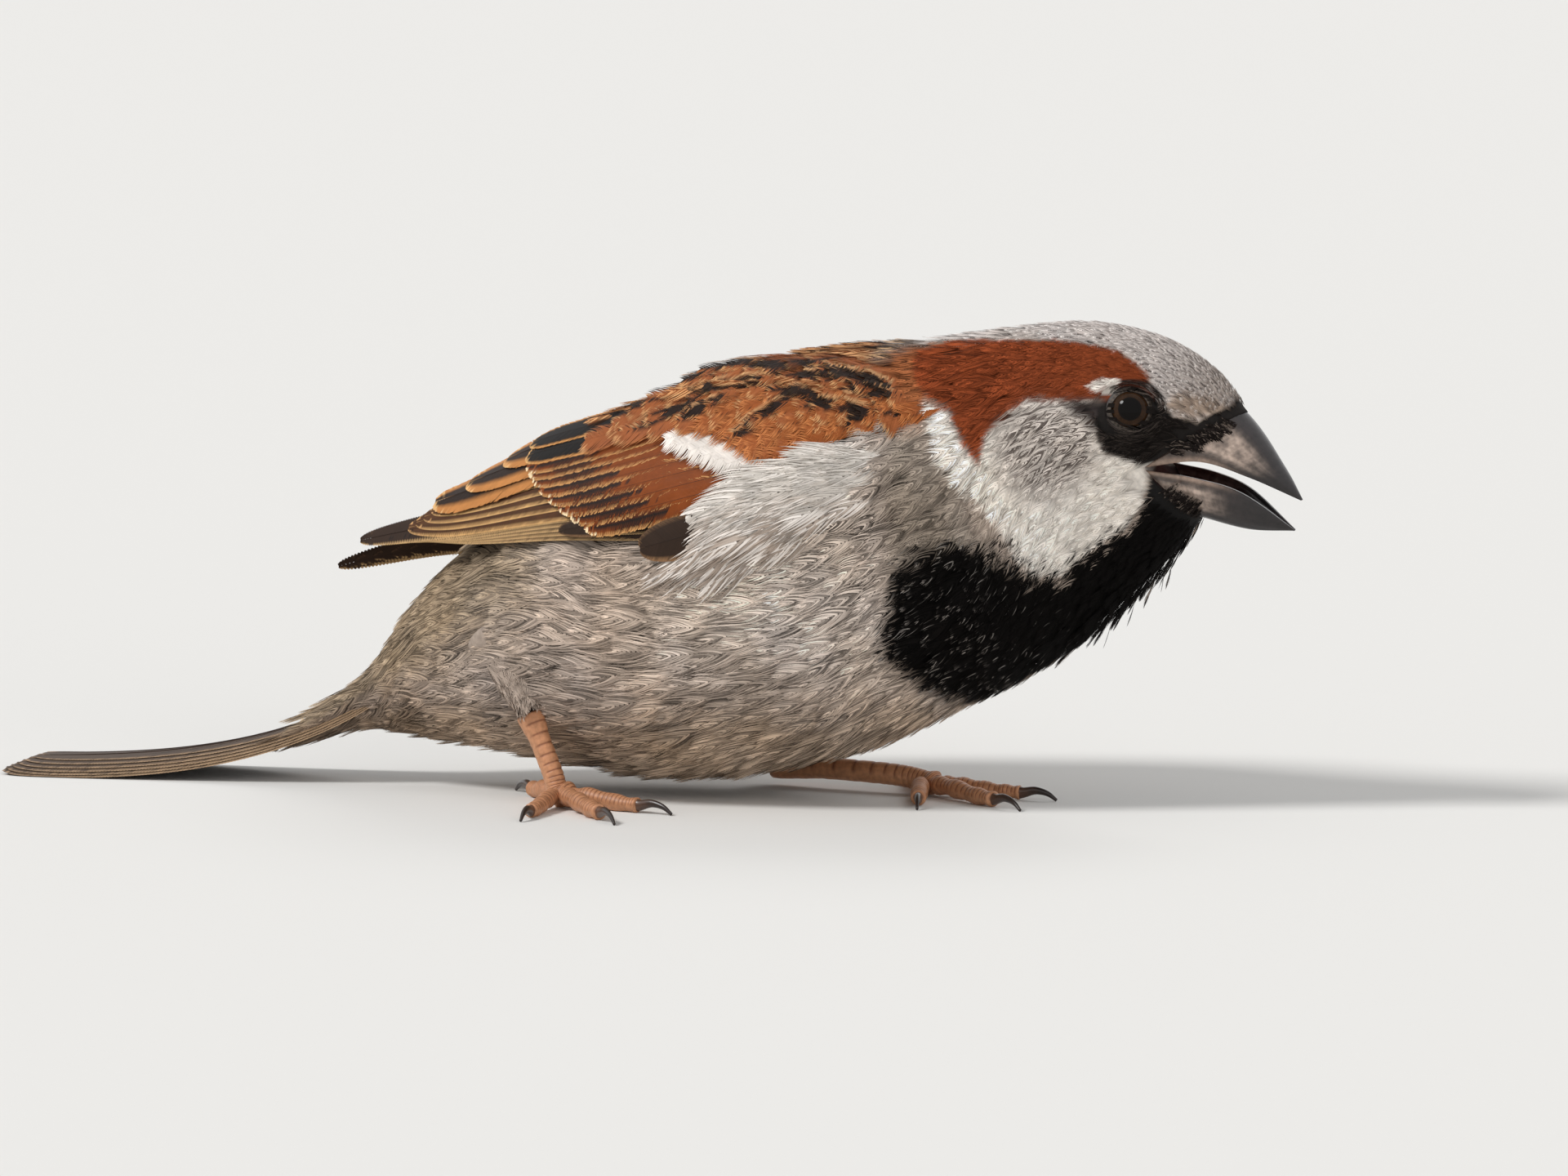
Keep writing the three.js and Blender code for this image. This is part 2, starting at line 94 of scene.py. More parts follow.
def mottle_group() -> bpy.types.NodeTree:
    """A node group that varies a colour in fine and broad patches, by place on the object.

    Returns:
        The group, which also gives the height of its noise.
    """
    group = bpy.data.node_groups.new("Mottle", "ShaderNodeTree")
    sockets, nodes, links = group.interface, group.nodes, group.links
    sockets.new_socket("Colour", in_out="INPUT", socket_type="NodeSocketColor")
    for name, value in (("Scale", 900.0), ("Amount", 0.2)):
        sockets.new_socket(name, in_out="INPUT", socket_type="NodeSocketFloat").default_value = value
    sockets.new_socket("Colour", in_out="OUTPUT", socket_type="NodeSocketColor")
    sockets.new_socket("Height", in_out="OUTPUT", socket_type="NodeSocketFloat")
    given, result, coordinate, noise, spread, low, high, shade = (
        nodes.new(kind) for kind in (
            "NodeGroupInput", "NodeGroupOutput", "ShaderNodeTexCoord", "ShaderNodeTexNoise",
            "ShaderNodeMapRange", "ShaderNodeMath", "ShaderNodeMath", "ShaderNodeVectorMath",
        )
    )
    low.operation, high.operation, shade.operation = "SUBTRACT", "ADD", "SCALE"
    for node, socket, value in (
        (noise, "Detail", 4.0), (spread, "From Min", 0.3), (spread, "From Max", 0.7),
        (low, 0, 1.0), (high, 0, 1.0),
    ):
        node.inputs[socket].default_value = value
    for node, output, target, socket in (
        (coordinate, "Object", noise, "Vector"), (given, "Scale", noise, "Scale"),
        (given, "Amount", low, 1), (given, "Amount", high, 1), (noise, "Fac", spread, "Value"),
        (low, 0, spread, "To Min"), (high, 0, spread, "To Max"), (given, "Colour", shade, 0),
        (spread, "Result", shade, "Scale"), (shade, "Vector", result, "Colour"),
        (noise, "Fac", result, "Height"),
    ):
        links.new(node.outputs[output], target.inputs[socket])
    return group


@dataclass(frozen=True)
class Finish:
    """A surface finish whose colour comes from the mesh's own "plume" attribute.

    Attributes:
        name: the material's name.
        roughness: how matt it is.
        specular: how strongly it reflects.
        scale: size of its mottling, in waves to a metre.
        amount: strength of the mottling.
        bump: height of its grain, in metres.
        coat: clear layer over it.
    """

    name: str
    roughness: float
    specular: float = 0.3
    scale: float = 900.0
    amount: float = 0.15
    bump: float = 0.0
    coat: float = 0.0

    def make(self, mottle: bpy.types.NodeTree) -> None:
        """Makes the material and keeps it in MATERIALS.

        Args:
            mottle: the group that varies its colour.
        """
        material = bpy.data.materials.new(self.name)
        material.use_nodes = True
        nodes, links = material.node_tree.nodes, material.node_tree.links
        shader = nodes["Principled BSDF"]
        colour = nodes.new("ShaderNodeAttribute")
        colour.attribute_name = "plume"
        patchy = nodes.new("ShaderNodeGroup")
        patchy.node_tree = mottle
        for node, socket, value in (
            (shader, "Roughness", self.roughness), (shader, "Specular IOR Level", self.specular),
            (shader, "Coat Weight", self.coat), (shader, "Coat Roughness", 0.04),
            (patchy, "Scale", self.scale), (patchy, "Amount", self.amount),
        ):
            node.inputs[socket].default_value = value
        links.new(colour.outputs["Color"], patchy.inputs["Colour"])
        links.new(patchy.outputs["Colour"], shader.inputs["Base Color"])
        if self.bump:
            bump = nodes.new("ShaderNodeBump")
            bump.inputs["Distance"].default_value = self.bump
            bump.inputs["Strength"].default_value = 0.6
            links.new(patchy.outputs["Height"], bump.inputs["Height"])
            links.new(bump.outputs["Normal"], shader.inputs["Normal"])
        MATERIALS[self] = material


DOWN = Finish("down", 0.75, 0.05, 700, 0.1)
WEB = Finish("vane", 0.55, 0.12, 500, 0.1)
SKIN = Finish("skin", 0.8, 0.2, 1500, 0.2, bump=0.0001)
HORN = Finish("bill", 0.28, 0.4, 1600, 0.3, bump=0.00006, coat=0.2)
GLOBE = Finish("eye", 0.04, 0.1, 3000, 0.1)
LID = Finish("lid", 0.55, 0.35, 3000, 0.2, bump=0.00003)
SCUTE = Finish("leg", 0.45, 0.4, 1800, 0.18, bump=0.00005)
CLAW = Finish("claw", 0.3, 0.5, 2200, 0.2, bump=0.00002)
FINISHES = (DOWN, WEB, SKIN, HORN, GLOBE, LID, SCUTE, CLAW)
MATERIALS: dict[Finish, bpy.types.Material] = {}


# ---- Numbers ----


def smooth(low: float, high: float, value: Array) -> Array:
    """Smooth step from 0 at low to 1 at high."""
    share = np.clip((value - low) / (high - low), 0.0, 1.0)
    return share * share * (3.0 - 2.0 * share)


def bell(distance: Array, width: float) -> Array:
    """A bell curve, 1 at distance 0."""
    return np.exp(-((distance / width) ** 2))


def paint(red: int, green: int, blue: int) -> Array:
    """A display colour, each part 0 to 255, as linear light."""
    share = np.array([red, green, blue], float) / 255.0
    return np.where(share <= 0.04045, share / 12.92, ((share + 0.055) / 1.055) ** 2.4)


def over(base: Array, *layers: tuple[Array, Array]) -> Array:
    """Lays colours over base in turn, each given with a weight that has one axis fewer.

    Args:
        base: the colours below.
        layers: a colour and its weight for each layer.

    Returns:
        The colours.
    """
    for colour, weight in layers:
        base = base + (colour - base) * weight[..., None]
    return base


def spline(stations: Array, share: Array) -> Array:
    """Uniform Catmull-Rom curve through the rows of stations.

    Args:
        stations: one row for each station.
        share: where to read the curve, counted in stations; it runs straight beyond both ends.

    Returns:
        One row for each share.
    """
    last = len(stations) - 1
    inside = np.clip(share, 0.0, last)
    start = np.minimum(inside.astype(int), last - 1)
    t = (inside - start)[..., None]
    ends = np.vstack([2 * stations[0] - stations[1], stations, 2 * stations[-1] - stations[-2]])
    a, b, c, d = ends[start], ends[start + 1], ends[start + 2], ends[start + 3]
    curve = 0.5 * (
        2 * b + (c - a) * t + (2 * a - 5 * b + 4 * c - d) * t**2 + (3 * b - a - 3 * c + d) * t**3
    )
    beyond = (share - inside)[..., None]
    slope = np.where(beyond < 0, stations[1] - stations[0], stations[-1] - stations[-2])
    return curve + beyond * slope


def unit(vectors: Array) -> Array:
    """The vectors at length 1."""
    return vectors / np.maximum(np.linalg.norm(vectors, axis=-1, keepdims=True), 1e-9)


def ripple(first: Array, second: Array, seed: int) -> Array:
    """Soft wandering values from -1 to 1: a sum of five sine waves in two directions.

    Args:
        first: first coordinate.
        second: second coordinate.
        seed: start of the random numbers.

    Returns:
        The values.
    """
    random = np.random.default_rng(seed)
    total = np.zeros(np.broadcast(first, second).shape)
    for size in (1.0, 1.7, 2.9, 4.3, 6.1):
        turn, phase = random.uniform(0, 2 * math.pi, 2)
        wave = math.cos(turn) * first + math.sin(turn) * second
        total = total + np.sin(size * wave + phase) / size**0.5
    return total / 2.6


def grid(first: Span, second: Span) -> list[Array]:
    """Two parameters spread evenly over a grid."""
    return np.meshgrid(np.linspace(*first), np.linspace(*second), indexing="ij")


def turns(count: int) -> Array:
    """Even turns from 0 round to a full turn, in radians."""
    return np.arange(count) / count * 2 * math.pi


# ---- Meshes ----


def make_piece(
    name: str, places: Array, triangles: Array, colours: Array, finish: Finish, slot: Slot,
    nodes: Sequence[str] = (), bake: Array | None = None,
) -> None:
    """Makes a smooth piece from whole arrays, moved over the model's origin.

    Args:
        name: the piece's name.
        places: points in the bird's frame, in millimetres.
        triangles: three point numbers in each row.
        colours: linear colour of each point, kept as the attribute "plume".
        finish: its finish.
        slot: its material slot; not used.
        nodes: the solids it stands for.
        bake: place of each point on the bake map.
    """
    mesh = bpy.data.meshes.new(name)
    mesh.vertices.add(len(places))
    mesh.vertices.foreach_set("co", ((places - MIDDLE) * MM).astype(np.float32).ravel())
    mesh.loops.add(triangles.size)
    mesh.loops.foreach_set("vertex_index", triangles.astype(np.int32).ravel())
    mesh.polygons.add(len(triangles))
    mesh.polygons.foreach_set("loop_start", np.arange(0, triangles.size, 3, dtype=np.int32))
    mesh.polygons.foreach_set("use_smooth", np.ones(len(triangles), bool))
    mesh.update(calc_edges=True)
    layer = mesh.color_attributes.new("plume", "FLOAT_COLOR", "POINT")
    full = np.ones((len(places), 4), np.float32)
    full[:, :3] = np.clip(colours, 0.0, 1.0)
    layer.data.foreach_set("color", full.ravel())
    if bake is not None:
        uv_map = mesh.uv_layers.new(name=BAKE_MAP)
        uv_map.data.foreach_set("uv", bake[triangles.ravel()].astype(np.float32).ravel())
    mesh.materials.append(MATERIALS[finish])
    piece = bpy.data.objects.new(name, mesh)
    bpy.context.scene.collection.objects.link(piece)
    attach(piece, "root")
    if nodes:
        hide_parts(*nodes)
    LOG.info("%s: %d triangles", name, len(triangles))


def joined(parts: Sequence[Part]) -> Part:
    """Joins parts into one.

    Args:
        parts: the points, triangles and colours of each.

    Returns:
        The points, triangles and colours of all.
    """
    places, faces, colours = zip(*parts)
    starts = np.cumsum([0, *(len(points) for points in places)])
    faces = [triangles + start for triangles, start in zip(faces, starts)]
    return np.concatenate(places), np.concatenate(faces), np.concatenate(colours)


def grid_faces(rows: int, columns: int, wraps: bool) -> Array:
    """The triangles between the points of a grid.

    Args:
        rows: points along it.
        columns: points across it.
        wraps: whether its last column is joined to its first.

    Returns:
        Three point numbers in each row.
    """
    i, j = np.meshgrid(np.arange(rows - 1), np.arange(columns - (not wraps)), indexing="ij")
    near, far, k = i * columns, (i + 1) * columns, (j + 1) % columns
    a, b, c, d = (corner.ravel() for corner in (near + j, far + j, far + k, near + k))
    return np.concatenate([np.stack([a, b, c], -1), np.stack([a, c, d], -1)])


def closed_tube(points: Array) -> tuple[Array, Array]:
    """Closes a grid of rings into a solid with a point at the middle of each end.

    Args:
        points: rings by sides by 3.

    Returns:
        The points, and the triangles that join them, turned away from the rings' middles.
    """
    rings, sides = points.shape[:2]
    walls = grid_faces(rings, sides, True)
    j = np.arange(sides)
    k = (j + 1) % sides
    start, last = rings * sides, (rings - 1) * sides
    caps = [np.stack([j * 0 + start, j, k], -1), np.stack([j * 0 + start + 1, last + k, last + j], -1)]
    faces = np.concatenate([walls, *caps])
    middles = points.mean(1)
    flat = np.concatenate([points.reshape(-1, 3), middles[[0, -1]]])
    middle = np.concatenate([np.repeat(middles, sides, 0), middles[[0, -1]]])
    a, b, c = flat[faces[:, 0]], flat[faces[:, 1]], flat[faces[:, 2]]
    away = (np.cross(b - a, c - a) * ((a + b + c) / 3 - middle[faces].mean(1))).sum(-1)
    return flat, faces[:, ::-1] if away[: len(walls)].sum() < 0 else faces


def swept(path: Array, wide: Array, high: Array) -> Array:
    """Rings of an oval tube carried along a path, square to it and level across.

    Args:
        path: middle of each ring.
        wide: half width by ring and by side.
        high: half height likewise.

    Returns:
        The rings, as rings by sides by 3.
    """
    along = unit(np.gradient(path, axis=0))
    across = unit(np.cross(np.array([0.0, 0.0, 1.0]), along))
    above = np.cross(along, across)
    turn = turns(wide.shape[1])
    return (
        path[:, None]
        + across[:, None] * (wide * np.cos(turn))[..., None]
        + above[:, None] * (high * np.sin(turn))[..., None]
    )


@dataclass
class Sheet:
    """A surface that feathers are laid on, kept as a grid and read between its points.

    Attributes:
        places: grid of points, first parameter by second.
        first: lowest and highest value of the first parameter, which runs towards the tail.
        second: the same for the second parameter, which runs across.
        wraps: whether the second parameter runs right round.
        outside: 1 if first x second points outwards, or -1.
    """

    places: Array
    first: tuple[float, float]
    second: tuple[float, float]
    wraps: bool = False
    outside: float = 1.0
    normals: Array = field(init=False)
    stretch: Array = field(init=False)

    def __post_init__(self) -> None:
        """Works out the outward normals and how far a step of each parameter goes."""
        rows, columns = self.places.shape[:2]
        step_a = (self.first[1] - self.first[0]) / (rows - 1)
        step_b = (self.second[1] - self.second[0]) / (columns - 1)
        along = np.gradient(self.places, step_a, axis=0)
        around = np.gradient(self.places, step_b, axis=1)
        if self.wraps:
            seam = (self.places[:, 1] - self.places[:, -2]) / (2 * step_b)
            around[:, 0] = around[:, -1] = seam
        self.normals = unit(np.cross(along, around)) * self.outside
        length = np.linalg.norm(along, axis=-1)
        lean = (around * along).sum(-1) / np.maximum(length, 1e-6)
        square = np.sqrt(np.maximum((around**2).sum(-1) - lean**2, 1e-6))
        self.stretch = np.stack([length, lean, square], -1)

    @classmethod
    def of(
        cls, surface: Callable[[Array, Array], Array], first: Span, second: Span,
        wraps: bool = False, outside: float = 1.0,
    ) -> "Sheet":
        """The sheet of a function of two parameters, read on a grid."""
        return cls(surface(*grid(first, second)), first[:2], second[:2], wraps, outside)

    def read(self, table: Array, place: Array) -> Array:
        """Reads a table between the grid's points.

        Args:
            table: what is known at each point of a grid over the same parameters.
            place: both parameters, on a last axis of two.

        Returns:
            The table's entry at each place.
        """
        rows, columns = table.shape[:2]
        x = (place[..., 0] - self.first[0]) / (self.first[1] - self.first[0]) * (rows - 1)
        y = (place[..., 1] - self.second[0]) / (self.second[1] - self.second[0]) * (columns - 1)
        x = np.clip(x, 0, rows - 1.001)
        y = np.mod(y, columns - 1) if self.wraps else np.clip(y, 0, columns - 1.001)
        i, j = x.astype(np.int32), y.astype(np.int32)
        s, t = (x - i)[..., None], (y - j)[..., None]
        near = table[i, j] * (1 - t) + table[i, j + 1] * t
        far = table[i + 1, j] * (1 - t) + table[i + 1, j + 1] * t
        return near * (1 - s) + far * s

    def at(self, place: Array, height: Array | float = 0.0) -> Array:
        """Points at both parameters, raised off the surface by height."""
        rise = np.asarray(height)[..., None]
        return self.read(self.places, place) + self.read(self.normals, place) * rise

    def step(self, place: Array, turn: Array, length: Array) -> Array:
        """Parameters of a step on the surface.

        Args:
            place: both parameters of the start.
            turn: direction in radians, 0 along the first parameter, positive towards the second.
            length: length of the step in millimetres.

        Returns:
            The change of both parameters.
        """
        run, lean, square = np.moveaxis(self.read(self.stretch, place), -1, 0)
        ahead, aside = np.cos(turn) * length, np.sin(turn) * length
        return np.stack([ahead / run - aside * lean / (square * run), aside / square], -1)

    def across(self, place: Array, way: Array) -> Array:
        """Change of parameters for a millimetre to the left of a way given in parameters.

        Args:
            place: both parameters of the start.
            way: change of both parameters along the way.

        Returns:
            The change of both parameters.
        """
        run, lean, square = np.moveaxis(self.read(self.stretch, place), -1, 0)
        ahead = run * way[..., 0] + lean * way[..., 1]
        aside = square * way[..., 1]
        size = np.maximum(np.hypot(ahead, aside), 1e-9)
        ahead, aside = ahead / size, aside / size
        return np.stack([-aside / run - ahead * lean / (square * run), ahead / square], -1)


# ---- Feathers ----


@dataclass(frozen=True)
class Vane:
    """How a kind of feather is made up.

    Attributes:
        barbs: barbs on each side of the shaft.
        sections: lengths that each barb is made of.
        bare: share of the shaft with no barbs, hidden under other feathers.
        zipped: share of each barb that lies edge to edge with the next.
        sweep: how far forwards a barb runs, in half widths.
        roll: tilt between a barb's two edges, in millimetres.
        camber: drop of the vane's edges, in millimetres.
        stray: how far barbs wander at their ends, in millimetres.
        fullness: how square the outline is; 1 is an oval.
        widest: share of the shaft at which the vane is widest.
        shaft: half width of the shaft, in millimetres; 0 for none.
        arch: how much the barbs curve towards the tip; 1 is straight.
        fill: width of a barb against the room it has; 0.5 just meets the next one.
        fray: how far barbs reach past the tip, as a share of the length.
        tilt: how far feathers lean to one side or the other, in millimetres.
        reach: greatest length of a barb against the shaft ahead of it.
        spread: greatest way a barb goes to the side against its length.
    """

    barbs: int
    sections: int = 3
    bare: float = 0.25
    zipped: float = 0.6
    sweep: float = 1.6
    roll: float = 0.03
    camber: float = 0.2
    stray: float = 0.08
    fullness: float = 1.0
    widest: float = 0.5
    shaft: float = 0.0
    arch: float = 1.35
    fill: float = 0.6
    fray: float = 0.0
    tilt: float = 0.0
    reach: float = 9.0
    spread: float = 9.0

    @property
    def ridge(self) -> int:
        """Lengths that the shaft is made of."""
        return max(6, self.barbs // 4) if self.shaft else 0

    @property
    def triangles(self) -> int:
        """Triangles in one feather."""
        return 2 * self.barbs * (2 * self.sections - 1) + 4 * self.ridge


@dataclass
class Batch:
    """Many feathers of one kind, each laid from its root to its tip on a sheet.

    Attributes:
        sheet: the surface they lie on.
        root: parameters of each root.
        tip: parameters of each tip.
        length: length of each shaft in millimetres.
        half: half width of each vane in millimetres.
        low: height of each root off the sheet.
        high: height of each tip off the sheet.
        seed: start of the random numbers.
        cover: extra height as a function of both parameters.

    One number for a length, width or height stands for all the feathers.
    """

    sheet: Sheet
    root: Array
    tip: Array
    length: Array | float
    half: Array | float
    low: Array | float
    high: Array | float
    seed: int
    cover: Callable[[Array], Array] | None = None

    def __post_init__(self) -> None:
        """Gives each feather its own numbers."""
        ones = np.ones(len(self.tip))
        self.length, self.half = self.length * ones, self.half * ones
        self.low, self.high = self.low * ones, self.high * ones

    def some(self, keep: Array) -> "Batch":
        """The feathers picked by a mask or by numbers."""
        parts = (self.root, self.tip, self.length, self.half, self.low, self.high)
        return Batch(self.sheet, *(part[keep] for part in parts), self.seed, self.cover)

    def laid(self, share: Array, aside: Array, lift: Array) -> tuple[Array, Array]:
        """Points beside the shafts, with the feathers on the first axis.

        Args:
            share: share of the way from root to tip.
            aside: distance to the left of the shaft in millimetres.
            lift: height off the sheet.

        Returns:
            The points, and the sheet's parameters there.
        """
        shape = (-1, *[1] * (share.ndim - 1), 2)
        root, way = self.root.reshape(shape), (self.tip - self.root).reshape(shape)
        place = root + way * share[..., None]
        left = self.sheet.across(place, np.broadcast_to(way, place.shape))
        place = place + left * aside[..., None]
        if self.cover is not None:
            lift = lift + self.cover(place)
        return self.sheet.at(place, lift), place


@dataclass
class Strands:
    """The points of a batch's barbs, with what is needed to colour them.

    Attributes:
        places: points in millimetres.
        along: share of the shaft, 0 at the root.
        aside: share of the barb's way to the vane's edge, signed.
        feather: a random number for each feather.
        barb: a random number for each barb.
        first: the sheet's first parameter.
        second: the sheet's second parameter.
    """

    places: Array
    along: Array
    aside: Array
    feather: Array
    barb: Array
    first: Array
    second: Array


Painter = Callable[[Strands], Array]


def outline(share: Array, vane: Vane) -> Array:
    """Half width of a vane as a share of its widest: an oval about the widest place.

    Args:
        share: share of the shaft's length.
        vane: how the feather is made up.

    Returns:
        The half widths.
    """
    span = np.where(share < vane.widest, vane.widest + 0.12, 1.005 - vane.widest)
    inside = np.clip(1 - np.abs((share - vane.widest) / span) ** (2 * vane.fullness), 0, 1)
    return np.sqrt(inside)


def barb_strands(batch: Batch, vane: Vane) -> tuple[Strands, Array]:
    """Works out every barb of every feather as a tapering ribbon that curves to the tip.

    A barb leaves the shaft at its own share of the length. Its distance from the shaft grows as
    1 - (1 - t)^arch while it runs evenly forwards, for t from 0 to 1 along it. The ribbon is as
    wide as the room between barbs up to the zipped share, then narrows to a point.

    Args:
        batch: the feathers.
        vane: how they are made up.

    Returns:
        The strands, and the triangles of the whole batch.
    """
    random = np.random.default_rng(batch.seed)
    count, barbs, cuts = len(batch.length), vane.barbs, vane.sections
    shape, points = (count, 2, barbs), 2 * cuts + 1
    length, half, low, high = (
        numbers[:, None, None, None] for numbers in (batch.length, batch.half, batch.low, batch.high)
    )
    side = np.array([-1.0, 1.0])[:, None, None]
    stem = (vane.bare + (1 - vane.bare) * (np.arange(barbs) + 0.5) / barbs)[:, None]
    wild = random.normal(0, 1, (*shape, 3))
    t = np.arange(cuts + 1) / cuts
    t = t**0.9 if vane.zipped < 0.9 else 1 - (1 - t) ** 2
    forward = np.minimum(half * vane.sweep * (1 - stem) ** 0.6, vane.reach * (1 - stem) * length)
    width = np.minimum(half * outline(stem, vane), vane.spread * forward + 0.04)
    width = width * (1 + min(0.06, 3 * vane.stray) * wild[..., :1])
    forward = forward + vane.fray * length * (1 + 0.3 * wild[..., 2:])
    rise = width * vane.arch * np.maximum(1 - t, 0.02) ** (vane.arch - 1)
    size = np.hypot(rise, forward)
    taper = np.clip((1 - t) / (1 - vane.zipped), 0, 1) ** 0.7
    thick = vane.fill * ((1 - vane.bare) * length / barbs) * np.maximum(rise / size, 0.3) * taper
    bend = vane.stray * t**2
    ahead = stem * length + forward * t + wild[..., 1:2] * bend
    aside = width * (1 - (1 - t) ** vane.arch) + wild[..., 2:] * bend * 0.5
    ribbon = ((ahead, -rise / size * thick), (aside, forward / size * thick))
    x, y = (
        np.stack([middle - edge, middle + edge], -1).reshape(*shape, -1)[..., :-1]
        for middle, edge in ribbon
    )
    share = x / length
    lift = low + (high - low) * np.clip(share, 0, 1.2) ** 0.65
    lean = random.normal(0, vane.tilt, (count, 1, 1, 1)) if vane.tilt else 0.0
    lift = lift - vane.camber * (y / half) ** 2 + lean * side * y / half
    edge = np.tile([1.0, -1.0], cuts + 1)[:-1] * np.repeat(taper, 2)[:-1]
    lift = lift + vane.roll * edge * (0.6 + 0.5 * wild[..., 1:2])
    lift = lift + 0.6 * vane.stray * np.repeat(t, 2)[:-1] ** 1.5 * wild[..., :1]
    places, place = batch.laid(share, side * y, lift)
    strip = [face for a in range(0, points - 3, 2) for face in ((a, a + 1, a + 3), (a, a + 3, a + 2))]
    strip.append((points - 3, points - 2, points - 1))
    faces = np.arange(count * 2 * barbs).reshape(*shape, 1, 1) * points + np.array(strip)
    flip = int(batch.sheet.outside > 0)
    faces[:, flip] = faces[:, flip, ..., ::-1]
    feather, barb = (
        np.broadcast_to(random.random(own), share.shape) for own in ((count, 1, 1, 1), (*shape, 1))
    )
    numbers = (share, side * y / width, feather, barb, place[..., 0], place[..., 1])
    return Strands(places.reshape(-1, 3), *(each.ravel() for each in numbers)), faces.reshape(-1, 3)


def shaft_strands(batch: Batch, vane: Vane) -> tuple[Strands, Array]:
    """Each feather's shaft as a low ridge that narrows to the tip, three points across.

    Args:
        batch: the feathers.
        vane: how they are made up.

    Returns:
        The strands, and the triangles of the whole batch.
    """
    count, rows = len(batch.length), vane.ridge + 1
    share = np.linspace(0.0, 1.0, rows)[:, None] * np.ones((count, 1, 3))
    across = np.array([-1.0, 0.0, 1.0])
    low, high = batch.low[:, None, None], batch.high[:, None, None]
    lift = low + (high - low) * share**0.85 + vane.shaft * (1 - np.abs(across)) * (1.2 - share)
    places, place = batch.laid(share, vane.shaft * (1 - 0.85 * share) * across, lift + 0.03)
    faces = grid_faces(rows, 3, False)
    if batch.sheet.outside > 0:
        faces = faces[:, ::-1]
    faces = faces + np.arange(count)[:, None, None] * rows * 3
    even = np.full(share.size, 0.5)
    strands = Strands(
        places.reshape(-1, 3), share.ravel(), np.full(share.size, 9.0), even, even,
        place[..., 0].ravel(), place[..., 1].ravel(),
    )
    return strands, faces.reshape(-1, 3)


def feather_piece(
    name: str, batch: Batch, vane: Vane, painter: Painter, finish: Finish, slot: Slot,
    nodes: Sequence[str] = (), shaping: Callable[[Array], Array] | None = None,
) -> None:
    """Makes a batch of feathers into one or more pieces of the coat.

    Args:
        name: the piece's name; more than one piece are numbered.
        batch: the feathers.
        vane: how they are made up.
        painter: gives each point's colour.
        finish: their finish.
        slot: their material slot.
        nodes: the solids they stand for.
        shaping: a last change to the points.
    """
    parts = max(1, math.ceil(len(batch.length) * vane.triangles / COAT_LIMIT))
    for number, chosen in enumerate(np.array_split(np.arange(len(batch.length)), parts)):
        some, count = batch.some(chosen), len(chosen)
        some.seed = batch.seed + number
        made = [barb_strands(some, vane)]
        if vane.shaft:
            made.append(shaft_strands(some, vane))
        low = some.root.min(0) - 0.02
        spread = np.maximum(some.root.max(0) + 0.02 - low, 1e-3)
        home = 0.01 + 0.98 * (some.root - low) / spread
        patch = np.array([PATCH, PATCH])
        if count <= FEW:
            home = np.stack([0 * chosen + 0.5, (np.arange(count) + 0.5) / count], -1)
            patch = np.array([0.9, 0.9 / count])
        bake = np.concatenate([
            np.repeat(home, len(strands.along) // count, 0)
            + patch * np.stack([strands.along - 0.5, np.clip(strands.aside, -1, 1) / 2], -1)
            for strands, _ in made
        ])
        places, faces, colours = joined(
            [(strands.places, triangles, painter(strands)) for strands, triangles in made]
        )
        if shaping is not None:
            places = shaping(places)
        places[:, 2] = np.maximum(places[:, 2], GROUND)
        label = name if parts == 1 else f"{name}_{number + 1}"
        make_piece(label, places, faces, colours, finish, slot, nodes, np.clip(bake, 0.001, 0.999))


# ---- The bird's form ----

# Stations from the bill's root to just past the tail's root. Each is a tilted section: x and z of
# its point on the back, x and z of its point below, half its width, the height of its widest
# place as a share of the way up, and how much of the width is drawn in beside the mouth.
STATIONS = np.array([
    [65.2, 45.0, 60.2, 33.4, 3.9, 0.46, 0.00],
    [61.1, 49.5, 56.6, 28.4, 6.3, 0.58, 0.17],
    [54.9, 52.9, 50.8, 22.7, 8.8, 0.56, 0.12],
    [46.4, 54.3, 45.0, 18.1, 11.3, 0.50, 0.00],
    [37.2, 53.4, 38.4, 13.9, 14.2, 0.45, 0.00],
    [27.5, 51.9, 31.0, 10.2, 17.2, 0.45, 0.00],
    [17.0, 50.8, 21.5, 5.9, 19.6, 0.47, 0.00],
    [6.0, 48.2, 10.0, 2.8, 20.8, 0.47, 0.00],
    [-5.0, 43.4, -1.5, 1.6, 20.2, 0.46, 0.00],
    [-15.5, 36.6, -13.0, 2.6, 17.4, 0.46, 0.00],
    [-25.0, 28.6, -24.0, 4.2, 12.4, 0.46, 0.00],
    [-32.8, 20.4, -32.2, 4.9, 7.8, 0.50, 0.00],
    [-38.0, 13.2, -38.2, 5.8, 4.8, 0.55, 0.00],
    [-44.0, 8.6, -44.5, 4.4, 4.7, 0.55, 0.00],
    [-50.0, 5.6, -50.5, 2.9, 5.4, 0.55, 0.00],
])
LAST = float(len(STATIONS) - 1)
TAIL_ROOT = 12.0
GAPE = (54.9, 38.7)
CULMEN_ROOT = (65.1, 45.1)
CHIN_ROOT = (60.2, 33.1)
SPAN = 15.0  # half width of a wing's sheet
EYE = np.array([53.5, 6.1, 45.15])
EYE_RADIUS = 2.5
LID_OPENING = 2.3
GROUND = 0.12  # nothing of the coat hangs lower


